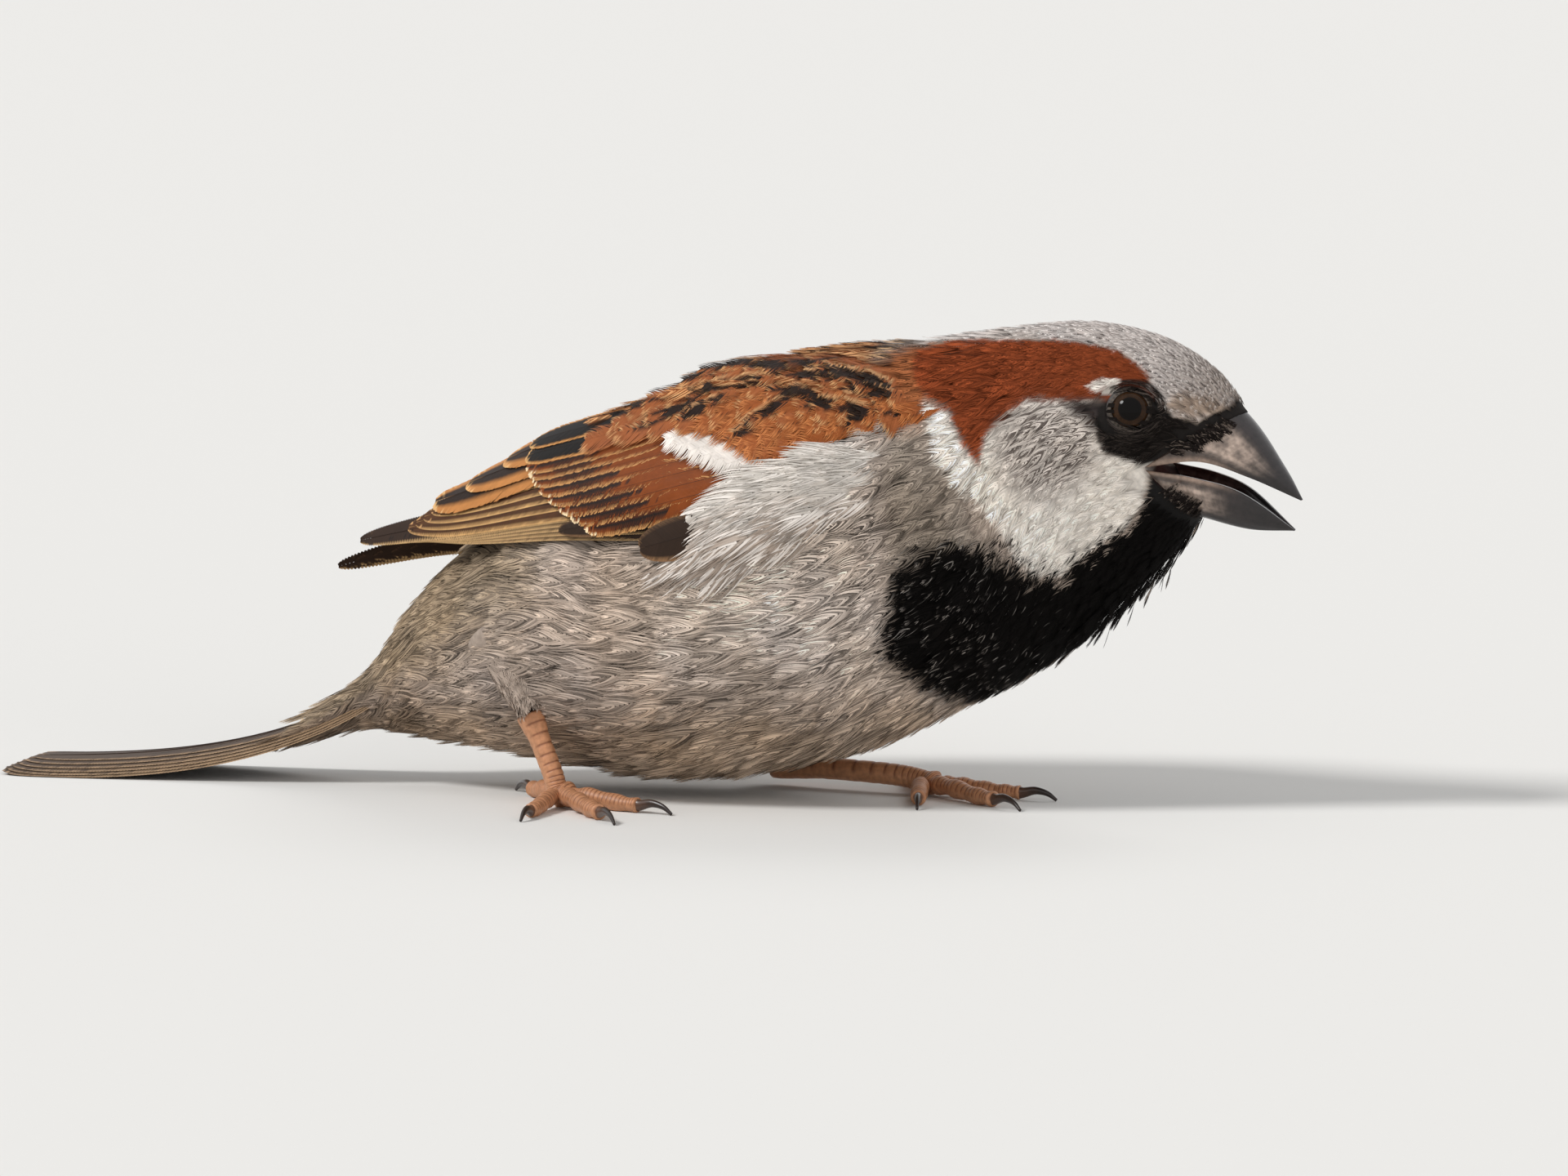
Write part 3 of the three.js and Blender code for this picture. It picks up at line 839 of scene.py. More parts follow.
def body_point(station: Array, turn: Array) -> Array:
    """Points on the feathered body, each ring two half ellipses that meet at its widest place.

    Args:
        station: place along the body, counted in stations.
        turn: turn round the body in radians from the back, positive to the left.

    Returns:
        The points.
    """
    row = spline(STATIONS, station)
    top, bottom = row[..., 0:2], row[..., 2:4]
    middle = bottom + (top - bottom) * row[..., 5:6]
    rise = np.cos(turn)[..., None]
    flat = middle + np.where(rise > 0, top - middle, bottom - middle) * np.abs(rise)
    mouth = (flat[..., 1] - bottom[..., 1]) / (top[..., 1] - bottom[..., 1]) - 0.5
    wide = row[..., 4] * np.sin(turn) * (1 - row[..., 6] * bell(mouth, 0.18))
    return np.stack([flat[..., 0], wide, flat[..., 1]], -1)


def bill_room(places: Array, shift: float = 0.0) -> Array:
    """How far inside the bill's wedge of the head places are in profile, in millimetres.

    Args:
        places: the points.
        shift: how far ahead of the gape the wedge starts.

    Returns:
        The distances to the wedge's nearer side.
    """
    x, z = places[..., 0], places[..., 2]
    slope_up = (CULMEN_ROOT[1] - GAPE[1]) / (CULMEN_ROOT[0] - GAPE[0])
    slope_down = (GAPE[1] - CHIN_ROOT[1]) / (CHIN_ROOT[0] - GAPE[0])
    ahead = x - GAPE[0] - shift
    above = (GAPE[1] + slope_up * ahead - z) / math.hypot(1, slope_up)
    below = (z - GAPE[1] + slope_down * ahead) / math.hypot(1, slope_down)
    return np.minimum(above, below)


def coat_depth(place: Array) -> Array:
    """Depth of the feathers over the skin: thin on the face, deep below.

    Args:
        place: station and turn.

    Returns:
        The depths in millimetres.
    """
    stations = [0.0, 1.0, 2.6, 4.0, 5.5, 8.0, 10.0, 12.0]
    depth = np.interp(place[..., 0], stations, [0.35, 0.5, 0.8, 1.5, 2.4, 2.8, 2.0, 1.0])
    return depth * (1 - 0.3 * np.maximum(np.cos(place[..., 1]), 0))


def body_sheet() -> Sheet:
    """The outside of the coat from bill to tail, right round."""
    return Sheet.of(body_point, (0.0, LAST, 561), (-math.pi, math.pi, 361), True, -1.0)


# ---- Colours ----

BLACK = paint(21, 18, 17)
# The crown's grey, made paler as painted light falling on the top of the head.
SUNLIT_GREY = paint(230, 219, 212)
CHESTNUT = paint(140, 68, 38)
RUST = paint(164, 98, 60)
BUFF = paint(204, 162, 114)
CREAM = paint(232, 210, 172)
WHITE = paint(242, 233, 222)
FLANK = paint(180, 163, 149)
# The belly's buff grey, made darker as painted shade on the underside.
BELLY_IN_SHADE = paint(178, 157, 137)
RUMP = paint(156, 137, 114)
UMBER = paint(50, 36, 28)
MOUTH = paint(88, 50, 46)
STATION_MM = 8.5  # rough millimetres to a station, for distances on the map of the body
DEGREE_MM = 0.22  # and to a degree round it
COLUMN = 9.0  # degrees between the mantle's columns of streaks


@dataclass(frozen=True)
class Marking:
    """A patch of plumage on the map of the body, the same on both sides.

    Attributes:
        colour: its colour.
        outline: its corners, each a station and degrees round from the back.
        soft: half width of its edge, in millimetres.
        ragged: how far feathers break its edge, in millimetres.
    """

    colour: Array
    outline: tuple[tuple[float, float], ...]
    soft: float = 0.35
    ragged: float = 0.6

    def cover(self, station: Array, degrees: Array, noise: Array) -> Array:
        """How much the patch covers each place, 0 to 1.

        The distance to the nearest side of the outline is signed by whether the place is inside,
        which is so when the sides cross a line from it an odd number of times.

        Args:
            station: place along the body.
            degrees: place round it from the back.
            noise: how ragged the edge is at each place, about -1 to 1.

        Returns:
            The cover.
        """
        x, y = station * STATION_MM, degrees * DEGREE_MM
        corners = np.array(self.outline) * [STATION_MM, DEGREE_MM]
        nearest = np.full(x.shape, 1e9)
        inside = np.zeros(x.shape, bool)
        for (ax, ay), (bx, by) in zip(corners, np.roll(corners, -1, 0)):
            dx, dy = bx - ax, by - ay
            share = np.clip(((x - ax) * dx + (y - ay) * dy) / (dx * dx + dy * dy), 0, 1)
            nearest = np.minimum(nearest, (x - ax - share * dx) ** 2 + (y - ay - share * dy) ** 2)
            if dy != 0:
                inside ^= ((ay > y) != (by > y)) & (x < ax + (y - ay) * dx / dy)
        distance = np.where(inside, 1, -1) * np.sqrt(nearest) + self.ragged * noise
        return smooth(-self.soft, self.soft, distance)


CROWN = Marking(SUNLIT_GREY, (
    (-0.3, -40), (-0.3, 18), (0.42, 38), (0.78, 62), (1.26, 66), (1.56, 64), (1.84, 60),
    (1.84, 44), (1.92, 41), (2.38, 30), (3.52, 22), (4.48, 13), (5.0, 8), (5.2, 0), (5.2, -40),
), 0.35, 0.5)
BROW = Marking(paint(200, 177, 158), (
    (0.3, 42), (0.9, 61), (1.26, 64), (1.5, 60), (1.3, 50), (0.9, 42), (0.3, 28),
), 0.9, 0.5)
CHESTNUT_BAND = Marking(CHESTNUT, (
    (1.8, 60), (1.84, 44), (1.92, 41), (2.38, 30), (3.52, 22), (4.48, 13), (4.98, 16), (4.85, 34),
    (4.6, 45), (4.34, 50), (4.18, 60), (3.92, 70), (3.88, 62), (3.76, 58), (3.42, 52), (2.9, 57),
    (2.45, 57), (2.2, 62), (1.9, 62),
), 0.3, 0.4)
EYE_SPOT = Marking(WHITE, (
    (2.66, 51), (2.5, 47.5), (2.3, 48.5), (2.16, 53), (2.12, 56.5), (2.3, 55), (2.5, 54.5),
), 0.15, 0.2)
STREAK = Marking(paint(66, 58, 56), ((2.3, 58), (2.95, 57), (2.64, 66), (2.3, 76)), 0.6, 0.5)
LORES = Marking(paint(28, 24, 22), (
    (-0.3, -20), (0.3, -20), (0.31, 12), (0.32, 28), (0.44, 40), (0.78, 64.5), (1.26, 66),
    (1.46, 61), (1.62, 54), (1.86, 51), (2.25, 55), (2.45, 61), (2.44, 74), (2.24, 84), (1.88, 90),
    (1.6, 96), (1.5, 101), (-0.3, 104),
), 0.25, 0.35)
CHEEK = Marking(WHITE, (
    (1.56, 97), (1.56, 112), (1.8, 119), (2.38, 121), (2.84, 124), (3.24, 117), (3.44, 109),
    (3.66, 90), (4.06, 78), (4.44, 66), (4.66, 45), (4.34, 50), (4.18, 60), (3.92, 70),
    (3.88, 62), (3.76, 58), (3.42, 52), (2.9, 57), (2.45, 60), (2.4, 75), (2.22, 84), (1.86, 88),
), 0.45, 0.6)
EAR = Marking(paint(226, 214, 203), (
    (3.78, 58), (3.64, 76), (3.25, 88), (2.8, 92), (2.4, 88), (2.4, 64), (2.92, 56), (3.4, 51),
), 1.6, 0.5)
BIB_PATCH = Marking(paint(13, 11, 10), (
    (-0.3, 99), (1.5, 100), (1.56, 112), (1.8, 119), (2.38, 121), (2.84, 124), (3.3, 116),
    (3.62, 101), (4.1, 93), (4.6, 89), (5.0, 96), (5.12, 112), (5.26, 125), (4.95, 146),
    (4.74, 163), (4.68, 182), (-0.3, 182),
), 0.35, 1.9)
NAPE = Marking(paint(142, 128, 118), (
    (4.7, -40), (4.7, 10), (4.9, 16), (4.95, 44), (5.2, 46), (5.45, 34), (5.5, 0), (5.5, -40),
), 1.0, 1.0)
WASH = Marking(paint(158, 96, 60), (
    (4.6, 14), (5.0, 12), (5.5, 24), (5.4, 42), (5.0, 50), (4.5, 50), (4.6, 36),
), 1.6, 1.2)
NECK = Marking(paint(150, 138, 126), (
    (4.2, 72), (4.7, 54), (4.95, 54), (5.05, 70), (4.95, 96), (4.6, 96), (3.8, 98),
), 1.6, 1.0)
MANTLE = Marking(RUST, (
    (5.35, -50), (5.3, 24), (5.15, 40), (5.15, 50), (5.5, 56), (7.5, 60), (9.2, 50), (9.3, -50),
), 0.8, 1.2)
PLUME = Marking(paint(226, 216, 206), (
    (5.3, 56), (5.6, 54), (6.3, 58), (6.4, 66), (5.8, 70), (5.4, 66),
), 1.2, 0.8)
BREAST = Marking(paint(216, 200, 186), (
    (5.3, 68), (5.9, 72), (7.4, 74), (7.4, 104), (6.2, 118), (5.4, 128), (5.2, 100),
), 4.0, 1.5)
RUMP_PATCH = Marking(RUMP, ((8.9, -90), (8.9, 70), (10.5, 88), (14.2, 100), (14.2, -90)), 4.5, 2.0)
BELLY_PATCH = Marking(BELLY_IN_SHADE, (
    (5.2, 150), (7.0, 132), (9.5, 122), (11.0, 115), (14.2, 120), (14.2, 185), (5.2, 185),
), 2.5, 1.5)
MARKINGS = (
    BELLY_PATCH, BREAST, NECK, PLUME, MANTLE, RUMP_PATCH, NAPE, WASH, CHEEK, EAR, CROWN, BROW,
    CHESTNUT_BAND, BIB_PATCH, STREAK, LORES, EYE_SPOT,
)


def folded(turn: Array) -> Array:
    """Degrees round from the back, whichever side."""
    return np.abs(np.degrees(np.mod(turn + math.pi, 2 * math.pi) - math.pi))


def marked(station: Array, turn: Array, noise: Array) -> Array:
    """Colour of the plumage at places on the body, for skin and feathers alike.

    Args:
        station: place along the body.
        turn: place round it in radians.
        noise: how ragged the markings' edges are at each place.

    Returns:
        The colours.
    """
    degrees = folded(turn)
    base = np.broadcast_to(FLANK, (*station.shape, 3))
    return over(base, *((each.colour, each.cover(station, degrees, noise)) for each in MARKINGS))


def speckle(strands: Strands, low: float, high: float) -> Array:
    """Shade of each point, varied by feather and by barb between low and high."""
    mixed = 0.4 * strands.feather + 0.6 * strands.barb
    return (low + (high - low) * mixed)[:, None]


def wide_glint(strands: Strands) -> Array:
    """One barb in thirty, near the end of its feather, where light catches the hard black ones."""
    return (strands.barb > 0.965) * smooth(0.75, 0.9, strands.along) * smooth(2.5, 4.0, strands.first)


def paint_body(strands: Strands) -> Array:
    """Colours of the contour feathers: the body's markings with each region's feather pattern.

    Crown feathers are dark with pale rims, ear feathers have dark barbs, the mantle has columns of
    black streaks between rust and buff and a cream line along its edge, and the bib's hindmost
    feathers have grey rims.

    Args:
        strands: the points.

    Returns:
        Their colours.
    """
    s, degrees, barb, along = strands.first, folded(strands.second), strands.barb, strands.along
    noise = 1.0 * (barb - 0.5) + 0.9 * (strands.feather - 0.5)
    crown, chestnut, nape, mantle, rump, bib, lores = (
        each.cover(s, degrees, noise)
        for each in (CROWN, CHESTNUT_BAND, NAPE, MANTLE, RUMP_PATCH, BIB_PATCH, LORES)
    )
    brow, ear = (each.cover(s, degrees, noise * 0) for each in (BROW, EAR))
    aside = np.abs(strands.aside)
    heart = smooth(0.85, 0.2, aside) * smooth(1.0, 0.84, along)
    dash = smooth(0.75, 0.3, aside) * smooth(1.04, 0.86, along)
    front = 0.6 + 0.3 * smooth(2.4, 0.6, s) + 0.9 * (strands.feather - 0.5) - 0.3 * brow
    wave = ripple(s * 2.6, degrees * 0.12, 41)
    column = np.cos(degrees / COLUMN * 2 * math.pi + 0.9 * np.sin(2.1 * s) + 1.1 * wave)
    run = np.sin(s * 4.6 + 2.2 * np.floor(degrees / COLUMN + 0.5) + 2.0 * ripple(s, degrees * 0.3, 42))
    streak = smooth(0.42, 0.72, column + 0.4 * (barb - 0.5)) * smooth(-0.6, -0.1, run)
    brace = np.interp(s, (5.8, 6.8, 7.7), (22.0, 16.0, 10.0))
    line = bell(degrees - brace, 2.8) * smooth(5.5, 5.8, s) * smooth(8.1, 7.6, s)
    shaded_vent = smooth(9.6, 11.2, s) * smooth(70, 110, degrees)
    hind = bib * smooth(3.6, 4.6, s) * smooth(0.92, 1.02, along)
    round_eye = bell(np.hypot((s - 1.98) * 7.1, (degrees - 64) * 0.2), 3.2)
    dark = np.maximum(bib, lores)
    colour = over(
        marked(s, strands.second, noise),
        (paint(176, 154, 136), 0.5 * crown * smooth(1.8, 0.6, s)),
        (paint(38, 33, 31), crown * dash * np.clip(front, 0, 1)),
        (paint(246, 238, 232), 0.5 * crown * smooth(0.85, 0.98, along)),
        (paint(62, 54, 50), 0.8 * crown * smooth(0.5, 0.2, s)),
        (paint(96, 84, 78), 0.6 * crown * (barb > 0.78)),
        (paint(96, 42, 22), 0.5 * chestnut * heart),
        (paint(66, 55, 50), 0.9 * ear * (barb > 0.64)),
        (BLACK, 0.8 * nape * heart * (strands.feather > 0.45)),
        (BUFF, 0.5 * mantle * (barb > 0.5)),
        (paint(222, 178, 128), 0.6 * mantle * bell(column, 0.22)),
        (BLACK, 0.95 * mantle * streak),
        (CREAM, 0.9 * mantle * line),
        (paint(88, 70, 54), 0.45 * rump * heart),
        # The vent under the tail: an overall darkening that is painted shade, and darker feather
        # centres that are its own.
        (paint(104, 86, 70), 0.55 * shaded_vent + 0.3 * shaded_vent * heart),
        (paint(150, 142, 136), 0.4 * hind * (barb > 0.62)),
        (paint(118, 106, 98), (0.05 + 0.24 * round_eye) * lores * (barb > 0.7)),
        (paint(150, 144, 138), 0.45 * dark * wide_glint(strands)),
    )
    # Each feather is painted darker towards its root: painted shade where the feathers above lie over
    # it.
    under = (0.66 + 0.34 * smooth(0.3, 0.85, along))[:, None]
    wide = smooth(1.5, 5.5, s)[:, None]
    mixed = 0.25 * strands.feather + 0.75 * barb - 0.5
    shade = 1 + (mixed[:, None] - 0.04) * (0.45 + 1.2 * wide)
    pale = 1 + 0.16 * (smooth(0.85, 1.05, along) * wide[:, 0] * (1 - dark))[:, None]
    broad = 1 + 0.14 * (ripple(s * 3.0, strands.second * 6.0, 33) * wide[:, 0])[:, None]
    warm = ripple(s * 2.0, strands.second * 4.0, 34)[:, None] * wide
    broad = broad * (1 + warm * np.array([0.03, 0.0, -0.05]))
    return np.clip(colour * shade * under * pale * broad, 0, 1)


def paint_bristle(strands: Strands) -> Array:
    """Blackish brown, with a paler bristle here and there."""
    base = np.broadcast_to(paint(30, 25, 23), (len(strands.along), 3))
    return over(base, (paint(120, 108, 98), 0.5 * (strands.barb > 0.82))) * speckle(strands, 0.7, 1.3)


def paint_plume(strands: Strands) -> Array:
    """Loose plumes beside the wing: white above and grey below, each barb in its own shade.

    Args:
        strands: the points.

    Returns:
        Their colours.
    """
    colour = over(
        np.broadcast_to(FLANK, (len(strands.along), 3)),
        (paint(232, 224, 214), smooth(82, 68, folded(strands.second) + 8 * (strands.feather - 0.5))),
        (paint(120, 108, 98), 0.8 * smooth(0.6, 0.2, strands.along)),
        (paint(240, 232, 224), 0.75 * (strands.barb > 0.6) * smooth(0.25, 0.6, strands.along)),
    )
    return colour * speckle(strands, 0.55, 1.2)


@dataclass(frozen=True)
class Pattern:
    """How one kind of wing or tail feather is coloured.

    Attributes:
        centre: colour of the middle of the vane.
        edge: colour of its edges.
        tip: colour of its end.
        edge_from: share of the half width at which the edge colour starts.
        edge_soft: width of that change.
        tip_from: share of the length at which the tip colour starts.
        tip_soft: length of that change.
        inner_dark: how far the web that points up the wing keeps the middle's colour.
        wedge: start and end, as shares of the length, of a black wedge beside the shaft.
        often: share of the feathers that have the wedge.
        beside: where the wedge lies across the vane, and its greatest half width.
        shaft: colour of the shaft.
        variety: how far barbs differ in shade.
        line: strength of the dark line inside the edge.
    """

    centre: Array
    edge: Array
    tip: Array
    edge_from: float = 0.6
    edge_soft: float = 0.2
    tip_from: float = 0.95
    tip_soft: float = 0.05
    inner_dark: float = 0.0
    wedge: tuple[float, float] = (2.0, 3.0)
    often: float = 1.0
    beside: tuple[float, float] = (-0.15, 0.42)
    shaft: Array = field(default_factory=lambda: paint(44, 32, 26))
    variety: float = 0.15
    line: float = 0.0

    def paint(self, strands: Strands) -> Array:
        """Colours of a batch of these feathers.

        Args:
            strands: the points.

        Returns:
            Their colours.
        """
        aside = np.abs(strands.aside)
        wobble = 0.08 * (strands.barb - 0.5)
        edged = smooth(self.edge_from, self.edge_from + self.edge_soft, aside + wobble)
        inner = smooth(0.0, 0.25, strands.aside) * self.inner_dark
        lined = bell(aside + wobble - self.edge_from + 0.05, 0.06) * self.line
        start, end = self.wedge
        along = strands.along + wobble
        centre, room = self.beside
        room = room * np.sin(math.pi * np.clip((along - start) / (end - start), 0, 1)) ** 0.6 + 1e-3
        black = smooth(1.15, 0.8, np.abs(strands.aside - centre - 0.2 * (along - start)) / room)
        curve = strands.along - 0.1 * (1 - np.minimum(aside, 1) ** 2) + 1.5 * wobble
        tipped = smooth(self.tip_from, self.tip_from + self.tip_soft, curve)
        colour = over(
            np.broadcast_to(self.centre, (*aside.shape, 3)),
            (self.edge, edged * (1 - inner)),
            (UMBER, lined),
            (BLACK, black * (strands.feather < self.often)),
            (self.tip, tipped),
        )
        colour = colour * speckle(strands, 1 - self.variety, 1 + self.variety)
        return over(colour, (self.shaft, (aside > 5) * (1 - tipped)))


# ---- Body ----


@dataclass
class Wing:
    """One folded wing.

    Attributes:
        side: which side it is on.
        droop: how far its tip hangs below the drawn one, in degrees about the shoulder.
        reach: its length against the drawn one's.
    """

    side: Side
    droop: float
    reach: float
    lead: Array = field(init=False)
    inner: Array = field(init=False)
    sheet: Sheet = field(init=False)

    # x, y and z of six stations along the lower edge and along the upper one.
    LEADING = np.array([
        [32.5, 15.4, 35.8], [20, 20.0, 31.2], [6, 20.9, 28.4], [-9, 17.9, 28.0], [-24, 11.6, 27.8],
        [-37.6, 5.2, 27.0],
    ])
    INNER = np.array([
        [29.5, 11.0, 45.2], [17, 12.2, 46.6], [2, 11.4, 44.6], [-11, 9.0, 40.2], [-24, 7.0, 34.0],
        [-37.6, 4.8, 28.2],
    ])
    BULGE = np.array([1.6, 3.2, 3.0, 2.2, 1.2, 0.2])  # how far it stands out between them
    PIVOT = np.array([31, 17.6, 38])  # the shoulder

    def __post_init__(self) -> None:
        """Swings the wing's two edges about the shoulder and spreads the sheet between them."""
        angle = math.radians(-self.droop)
        swing = np.array([
            [math.cos(angle), 0, math.sin(angle)], [0, 1, 0], [-math.sin(angle), 0, math.cos(angle)],
        ])
        stance = np.array([self.reach, 1.0, 1.0])
        self.lead, self.inner = (
            (edge - self.PIVOT) @ swing.T * stance + self.PIVOT for edge in (self.LEADING, self.INNER)
        )
        outside = float(self.side.value)
        self.sheet = Sheet.of(self.surface, (-0.2, 1.12, 265), (-SPAN, SPAN, 121), outside=outside)

    def edges(self, u: Array) -> tuple[Array, Array]:
        """Points of the lower and the upper edge at share u of the length."""
        stations = u * (len(self.LEADING) - 1.0)
        return spline(self.lead, stations), spline(self.inner, stations)

    def surface(self, u: Array, w: Array) -> Array:
        """Points on the wing, which bulges like a parabola between its edges and beyond them.

        Args:
            u: share of its length.
            w: millimetres up from its middle line.

        Returns:
            The points.
        """
        low, high = self.edges(u)
        bulge = np.interp(u, np.linspace(0, 1, 6), self.BULGE)
        out = unit(np.stack([0 * u, high[..., 2] - low[..., 2], low[..., 1] - high[..., 1]], -1))
        width = np.linalg.norm(high - low, axis=-1)
        rise = bulge * (1 - (2 * w / np.maximum(width, 7.0)) ** 2)
        point = low + (high - low) * (0.5 + w / width)[..., None] + out * rise[..., None]
        return point * [1, self.side.value, 1]

    def place(self, shares: Array) -> Array:
        """The sheet's own parameters for shares u along and v up the wing, on a last axis of two."""
        low, high = self.edges(shares[..., 0])
        width = np.linalg.norm(high - low, axis=-1)
        return np.stack([shares[..., 0], (shares[..., 1] - 0.5) * width], -1)

    def share_at(self, points: Array) -> Array:
        """Shares u and v of the wing beside points of the body, found by turns from x and z.

        Args:
            points: the points.

        Returns:
            Both shares, on a last axis of two.
        """
        u, last = np.full(points.shape[:-1], 0.4), len(self.LEADING) - 1.0
        for _ in range(8):
            low, high = self.edges(u)
            v = np.clip((points[..., 2] - low[..., 2]) / (high[..., 2] - low[..., 2]), -0.5, 1.5)
            x = low[..., 0] + (high[..., 0] - low[..., 0]) * v
            ahead = spline(self.lead, u * last + 0.1)[..., 0] - low[..., 0]
            u = np.clip(u + 0.1 / last * (points[..., 0] - x) / ahead, -0.3, 1.3)
        return np.stack([u, v], -1)

    def lay(
        self, tips: Array, length: Array | float, turn: Array, half: float, low: Array | float,
        high: Array, seed: int,
    ) -> Batch:
        """Lays feathers so that their tips fall at given places.

        Args:
            tips: shares u and v of each tip.
            length: length of each feather in millimetres.
            turn: direction from root to tip in degrees, positive up the wing.
            half: half width of each.
            low: height of each root.
            high: height of each tip.
            seed: start of the random numbers.

        Returns:
            The batch.
        """
        tip = self.place(tips)
        back = self.sheet.step(tip, np.radians(turn), -length * np.ones(len(tip)))
        return Batch(self.sheet, tip + back, tip, length, half, low, high, seed)

    def span(
        self, roots: Array, tips: Array, half: Array | float, low: Array, high: Array, seed: int
    ) -> Batch:
        """Lays feathers between given roots and tips.

        Args:
            roots: shares u and v of each root.
            tips: shares u and v of each tip.
            half: half width of each.
            low: height of each root.
            high: height of each tip.
            seed: start of the random numbers.

        Returns:
            The batch.
        """
        root, tip = self.place(roots), self.place(tips)
        length = np.linalg.norm(self.sheet.at(tip) - self.sheet.at(root), axis=1)
        return Batch(self.sheet, root, tip, length, half, low, high, seed)


EYE_PLACE = (1.98, math.radians(63))  # station and turn of the eye on the body


def eye_axis(sheet: Sheet, side: Side) -> Array:
    """The direction an eye looks in: out of the head beside it."""
    return sheet.read(sheet.normals, np.array([[EYE_PLACE[0], side.value * EYE_PLACE[1]]]))[0]


def from_eye(places: Array, sheet: Sheet, side: Side) -> tuple[Array, Array]:
    """Places as seen from an eye.

    Args:
        places: the points.
        sheet: the body.
        side: which eye.

    Returns:
        How far each point is along the eye's axis, and its offset from that axis.
    """
    axis = eye_axis(sheet, side)
    offset = places - EYE * [1, side.value, 1]
    depth = offset @ axis
    return depth, offset - depth[:, None] * axis


def part_round_eyes(places: Array, sheet: Sheet, opening: float, reach: float) -> Array:
    """Pushes points straight away from the axis of each eye.

    A distance r below reach becomes opening + r (reach - opening) / reach.

    Args:
        places: the points.
        sheet: the body.
        opening: the least distance from an axis, in millimetres.
        reach: the distance beyond which nothing moves.

    Returns:
        The points.
    """
    for side in Side:
        depth, flat = from_eye(places, sheet, side)
        distance = np.linalg.norm(flat, axis=1)
        near = (distance < reach) & (depth > -3)
        wanted = opening + distance * (reach - opening) / reach
        push = np.where(near, wanted - distance, 0.0) / np.maximum(distance, 1e-3)
        places = places + flat * push[:, None]
    return places


@dataclass(frozen=True)
class Region:
    """A region of the body's coat and the feathers it is made of.

    Attributes:
        name: the piece's name.
        slot: its material slot.
        vane: how its feathers are made.
        stations: first and last station.
        degrees: lowest and highest number of degrees round from the back.
        stretch: length of its feathers against the usual.
        plump: width of its feathers against the usual.
        pace: distance between its feathers against the usual.
    """

    name: str
    slot: Slot
    vane: Vane
    stations: tuple[float, float]
    degrees: tuple[float, float]
    stretch: float = 1.0
    plump: float = 1.0
    pace: float = 1.0


FACE_VANE = Vane(
    11, 4, 0.25, 0.3, sweep=9, roll=0.012, camber=0.06, stray=0.03, arch=2.2, fill=0.5, fray=0.06,
    tilt=0.03, reach=0.8, spread=0.33,
)
CROWN_VANE = replace(
    FACE_VANE, barbs=7, sections=3, bare=0.3, roll=0.01, camber=0.05, stray=0.02, arch=2.0,
    tilt=0.02, spread=0.4,
)
NECK_VANE = replace(
    FACE_VANE, barbs=14, sections=5, roll=0.015, camber=0.1, stray=0.05, fray=0.05, tilt=0.04,
)
MANTLE_VANE = replace(
    FACE_VANE, barbs=20, zipped=0.4, roll=0.015, camber=0.2, arch=2.0, fray=0.03, tilt=0.04,
    spread=0.45,
)
BREAST_VANE = replace(
    FACE_VANE, barbs=18, sections=6, bare=0.2, roll=0.02, camber=0.15, stray=0.08, tilt=0.06,
    reach=0.82, spread=0.3,
)
RUMP_VANE = replace(
    BREAST_VANE, sections=5, bare=0.22, stray=0.07, fray=0.05, tilt=0.05, spread=0.32,
)
PLUME_VANE = replace(
    FACE_VANE, barbs=10, sections=6, zipped=0.2, roll=0.03, camber=0.1, stray=0.2, arch=2.0,
    fill=0.45, fray=0.12, tilt=0.1, spread=0.25,
)
THIGH_VANE = replace(
    FACE_VANE, barbs=9, bare=0.2, roll=0.03, camber=0.1, stray=0.12, arch=2.0, fray=0.1, tilt=0.05,
    spread=0.35,
)
BRISTLE_VANE = Vane(
    3, 4, 0.2, 0.15, sweep=5, roll=0.01, camber=0.02, stray=0.08, arch=1.2, fill=0.5, fray=0.12,
)
REGIONS = (
    Region("coat_crown", Slot.HEAD, CROWN_VANE, (-0.1, 3.6), (0, 48), 0.72, 1.0, 0.62),
    Region("coat_face", Slot.HEAD, FACE_VANE, (-0.1, 3.6), (48, 180), pace=0.92),
    Region("coat_neck", Slot.NECK, NECK_VANE, (3.6, 5.3), (0, 180), pace=0.9),
    Region("coat_mantle", Slot.BODY, MANTLE_VANE, (5.3, 9.2), (0, 55), 0.8, 1.1, 0.8),
    Region("coat_breast", Slot.BODY, BREAST_VANE, (5.3, 7.5), (55, 180), pace=0.85),
    Region("coat_belly", Slot.BODY, BREAST_VANE, (7.5, 9.8), (55, 180), pace=0.88),
    Region("coat_rump", Slot.RUMP, RUMP_VANE, (9.2, 12.6), (0, 100), pace=0.88),
    Region("coat_vent", Slot.RUMP, RUMP_VANE, (9.8, 13.0), (100, 180)),
)


